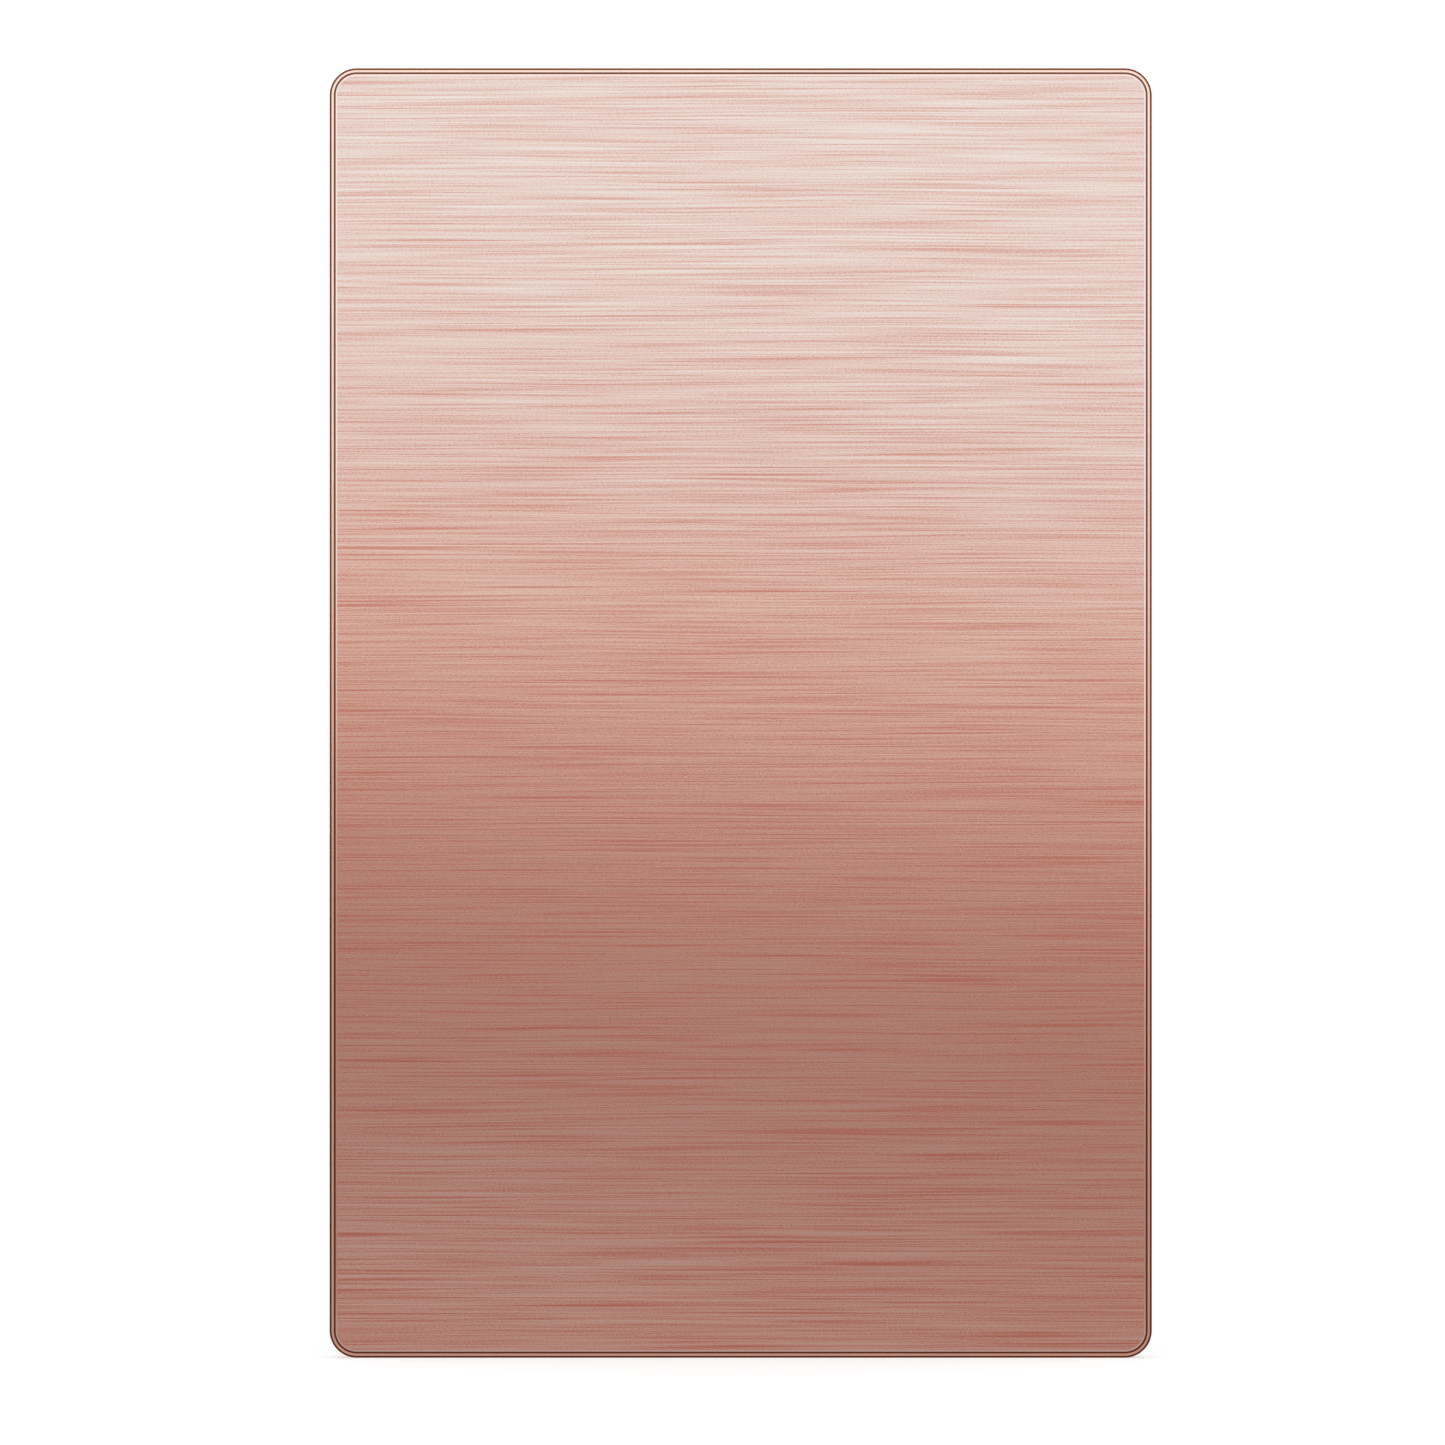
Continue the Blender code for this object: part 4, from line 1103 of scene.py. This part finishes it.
# Studio: pale floor, even white surroundings, and a round graded reflector that only gloss sees
studio = {
    "frameShare": 0.569,
    "lens": 300.0,
    "sensor": 36.0,
    "sideStep": 0.0126,
    "upStep": 0.0066,
    "floorSize": 20.0,
    "worldStrength": 1.25,
    "reflectorRadius": 0.22,
    "reflectorTop": 0.40,
    "reflectorRaise": 0.00003,
    "tilt": 0.085,
    "floorTone": (0.55, 0.45, 0.43),
    "floorDrop": 0.00005,
    "floorGray": 0.40,
    "floorLift": 0.56,
    "overheadSize": 1.6,
    "overheadPower": 6,
    "overheadPlace": (0, -0.3, 2.2),
}

# Behind the camera the reflector runs from a warm ground through a copper horizon to a cool sky,
# with a paler foot; the ranges are shares of the tablet's height
frontGlow = {
    "ground": (0.38, 0.265, 0.25),
    "horizon": (0.84, 0.55, 0.43),
    "sky": (1.03, 1.48, 1.71),
    "foot": (0.62, 0.69, 0.80),
    "horizonRange": (0.35, 0.50),
    "skyRange": (0.44, 0.84),
    "footTop": 0.13,
}

# Angles round the reflector from the middle of the front: side tones take over, then a pale strip
# rises and falls, then the dim back begins
reflectorTurns = {
    "side": (math.radians(24), math.radians(42)),
    "stripRise": (math.radians(106), math.radians(124)),
    "stripFall": (math.radians(124), math.radians(154)),
    "back": (math.radians(124), math.radians(150)),
}
stripTone = (1.25, 1.25, 1.25)
backTone = (0.22, 0.22, 0.23)

# Round the sides: tones by height share
sideTones = (
    (0.00, (0.46, 0.31, 0.27)),
    (0.20, (0.47, 0.32, 0.28)),
    (0.34, (0.65, 0.49, 0.45)),
    (0.51, (0.94, 0.91, 0.91)),
    (0.68, (1.06, 1.14, 1.18)),
    (1.00, (1.08, 1.20, 1.26)),
)


def makeCamera():
    data = bpy.data.cameras.new("camera")
    data.lens = studio["lens"]
    data.sensor_width = studio["sensor"]
    data.shift_x = -studio["sideStep"]
    data.shift_y = -studio["upStep"]
    data.clip_start = 0.05
    data.clip_end = 60
    camera = bpy.data.objects.new("camera", data)
    scene.collection.objects.link(camera)
    across = caseWidth / studio["frameShare"]
    distance = across * studio["lens"] / studio["sensor"]
    camera.location = (0, rearFace + 0.6 * mm - distance, caseMiddle.z)
    camera.rotation_euler = (math.pi / 2, 0, 0)
    scene.camera = camera


def makeFloor():
    shape = bmesh.new()
    bmesh.ops.create_grid(shape, x_segments=1, y_segments=1, size=studio["floorSize"] / 2)
    mesh = bpy.data.meshes.new("floor")
    shape.to_mesh(mesh)
    shape.free()
    material, tree, shader, place = newMaterial("paleFloor", Roughness=0.9)
    shader.inputs["Base Color"].default_value = (*[studio["floorGray"]] * 3, 1)
    shader.inputs["Specular IOR Level"].default_value = 0.0
    shader.inputs["Emission Color"].default_value = (1, 1, 1, 1)
    shader.inputs["Emission Strength"].default_value = studio["floorLift"]  # keeps the contact shade faint
    floor = newObject("floor", mesh, material)
    floor.location.z = -studio["floorDrop"]


def toneRamp(tree, share, tones):
    ramp = addNode(tree, "ShaderNodeValToRGB", {0: share})
    stops = ramp.color_ramp.elements
    stops[0].color = (*tones[0][1], 1)
    stops[1].color = (*tones[-1][1], 1)
    for position, color in tones[1:-1]:
        stops.new(position).color = (*color, 1)
    return ramp.outputs[0]


def makeFrontGlow(tree, share):
    horizonShare = remap(tree, share, *frontGlow["horizonRange"], curve="SMOOTHSTEP")
    skyShare = remap(tree, share, *frontGlow["skyRange"], curve="SMOOTHSTEP")
    footShare = remap(tree, share, 0.0, frontGlow["footTop"], 1.0, 0.0)
    color = blendColor(tree, horizonShare, frontGlow["ground"], frontGlow["horizon"])
    color = blendColor(tree, skyShare, color, frontGlow["sky"])
    return blendColor(tree, footShare, color, frontGlow["foot"])


# A material of one emission, whose color is a fixed tone or is made by a function of its tree
def glowMaterial(name, color):
    material = bpy.data.materials.new(name)
    material.use_nodes = True
    tree = material.node_tree
    tree.nodes.clear()
    if callable(color):
        color = color(tree)
    light = addNode(tree, "ShaderNodeEmission", {"Color": color, "Strength": 1.0})
    output = addNode(tree, "ShaderNodeOutputMaterial")
    wire(tree, light.outputs[0], output.inputs[0])
    return material


def makeReflectorGlow(tree):
    place = axes(tree, addNode(tree, "ShaderNodeTexCoord").outputs["Object"])
    tilted = calc(tree, "ADD", place["Z"], calc(tree, "MULTIPLY", place["X"], studio["tilt"]))
    share = remap(tree, tilted, 0.0, caseHeight)
    backward = calc(tree, "MULTIPLY", place["Y"], -1.0)
    angle = calc(tree, "ABSOLUTE", calc(tree, "ARCTAN2", place["X"], backward))
    turns = reflectorTurns
    sideShare = remap(tree, angle, *turns["side"], curve="SMOOTHSTEP")
    glow = blendColor(tree, sideShare, makeFrontGlow(tree, share), toneRamp(tree, share, sideTones))
    rise = remap(tree, angle, *turns["stripRise"], curve="SMOOTHSTEP")
    fall = remap(tree, angle, *turns["stripFall"], 1.0, 0.0, curve="SMOOTHSTEP")
    lift = remap(tree, share, -0.2, 0.9, 0.1, 1.0)
    soft = calc(tree, "MULTIPLY", calc(tree, "MULTIPLY", rise, fall), lift)
    back = remap(tree, angle, *turns["back"], curve="SMOOTHSTEP")
    glow = blendColor(tree, back, glow, backTone)
    return blendColor(tree, soft, glow, stripTone)


# Only reflections see it: no light, shade or shadow comes from it
def glossOnly(piece):
    piece.visible_camera = False
    piece.visible_diffuse = False
    piece.visible_transmission = False
    piece.visible_volume_scatter = False
    piece.visible_shadow = False


# A round wall about the tablet, open at the top, on a disc
def makeReflector():
    wall = bmesh.new()
    ring = circleRing(studio["reflectorRadius"], 96)
    low = [wall.verts.new((x, y, studio["reflectorRaise"])) for x, y in ring]
    high = [wall.verts.new((x, y, studio["reflectorTop"])) for x, y in ring]
    for i in range(len(ring)):
        j = (i + 1) % len(ring)
        wall.faces.new((low[i], low[j], high[j], high[i]))
    disc = bmesh.new()
    disc.faces.new([disc.verts.new((x, y, studio["reflectorRaise"])) for x, y in ring])
    wallGlow = glowMaterial("reflectorGlow", makeReflectorGlow)
    discGlow = glowMaterial("floorGlow", (*studio["floorTone"], 1))
    for name, shape, glow in (("wall", wall, wallGlow), ("disc", disc, discGlow)):
        mesh = bpy.data.meshes.new("reflector" + name.title())
        shape.to_mesh(mesh)
        shape.free()
        glossOnly(newObject(mesh.name, mesh, glow))


def makeLights():
    world = bpy.data.worlds.new("studioWorld")
    scene.world = world
    world.use_nodes = True
    background = world.node_tree.nodes["Background"]
    background.inputs["Color"].default_value = (1, 1, 1, 1)
    background.inputs["Strength"].default_value = studio["worldStrength"]
    data = bpy.data.lights.new("overhead", "AREA")
    data.shape = "DISK"
    data.size = studio["overheadSize"]
    data.energy = studio["overheadPower"]
    light = bpy.data.objects.new("overhead", data)
    light.location = studio["overheadPlace"]
    light.visible_glossy = False
    scene.collection.objects.link(light)
    scene.view_settings.view_transform = "Standard"


makeCamera()
makeFloor()
makeReflector()
makeLights()
print("studio made")
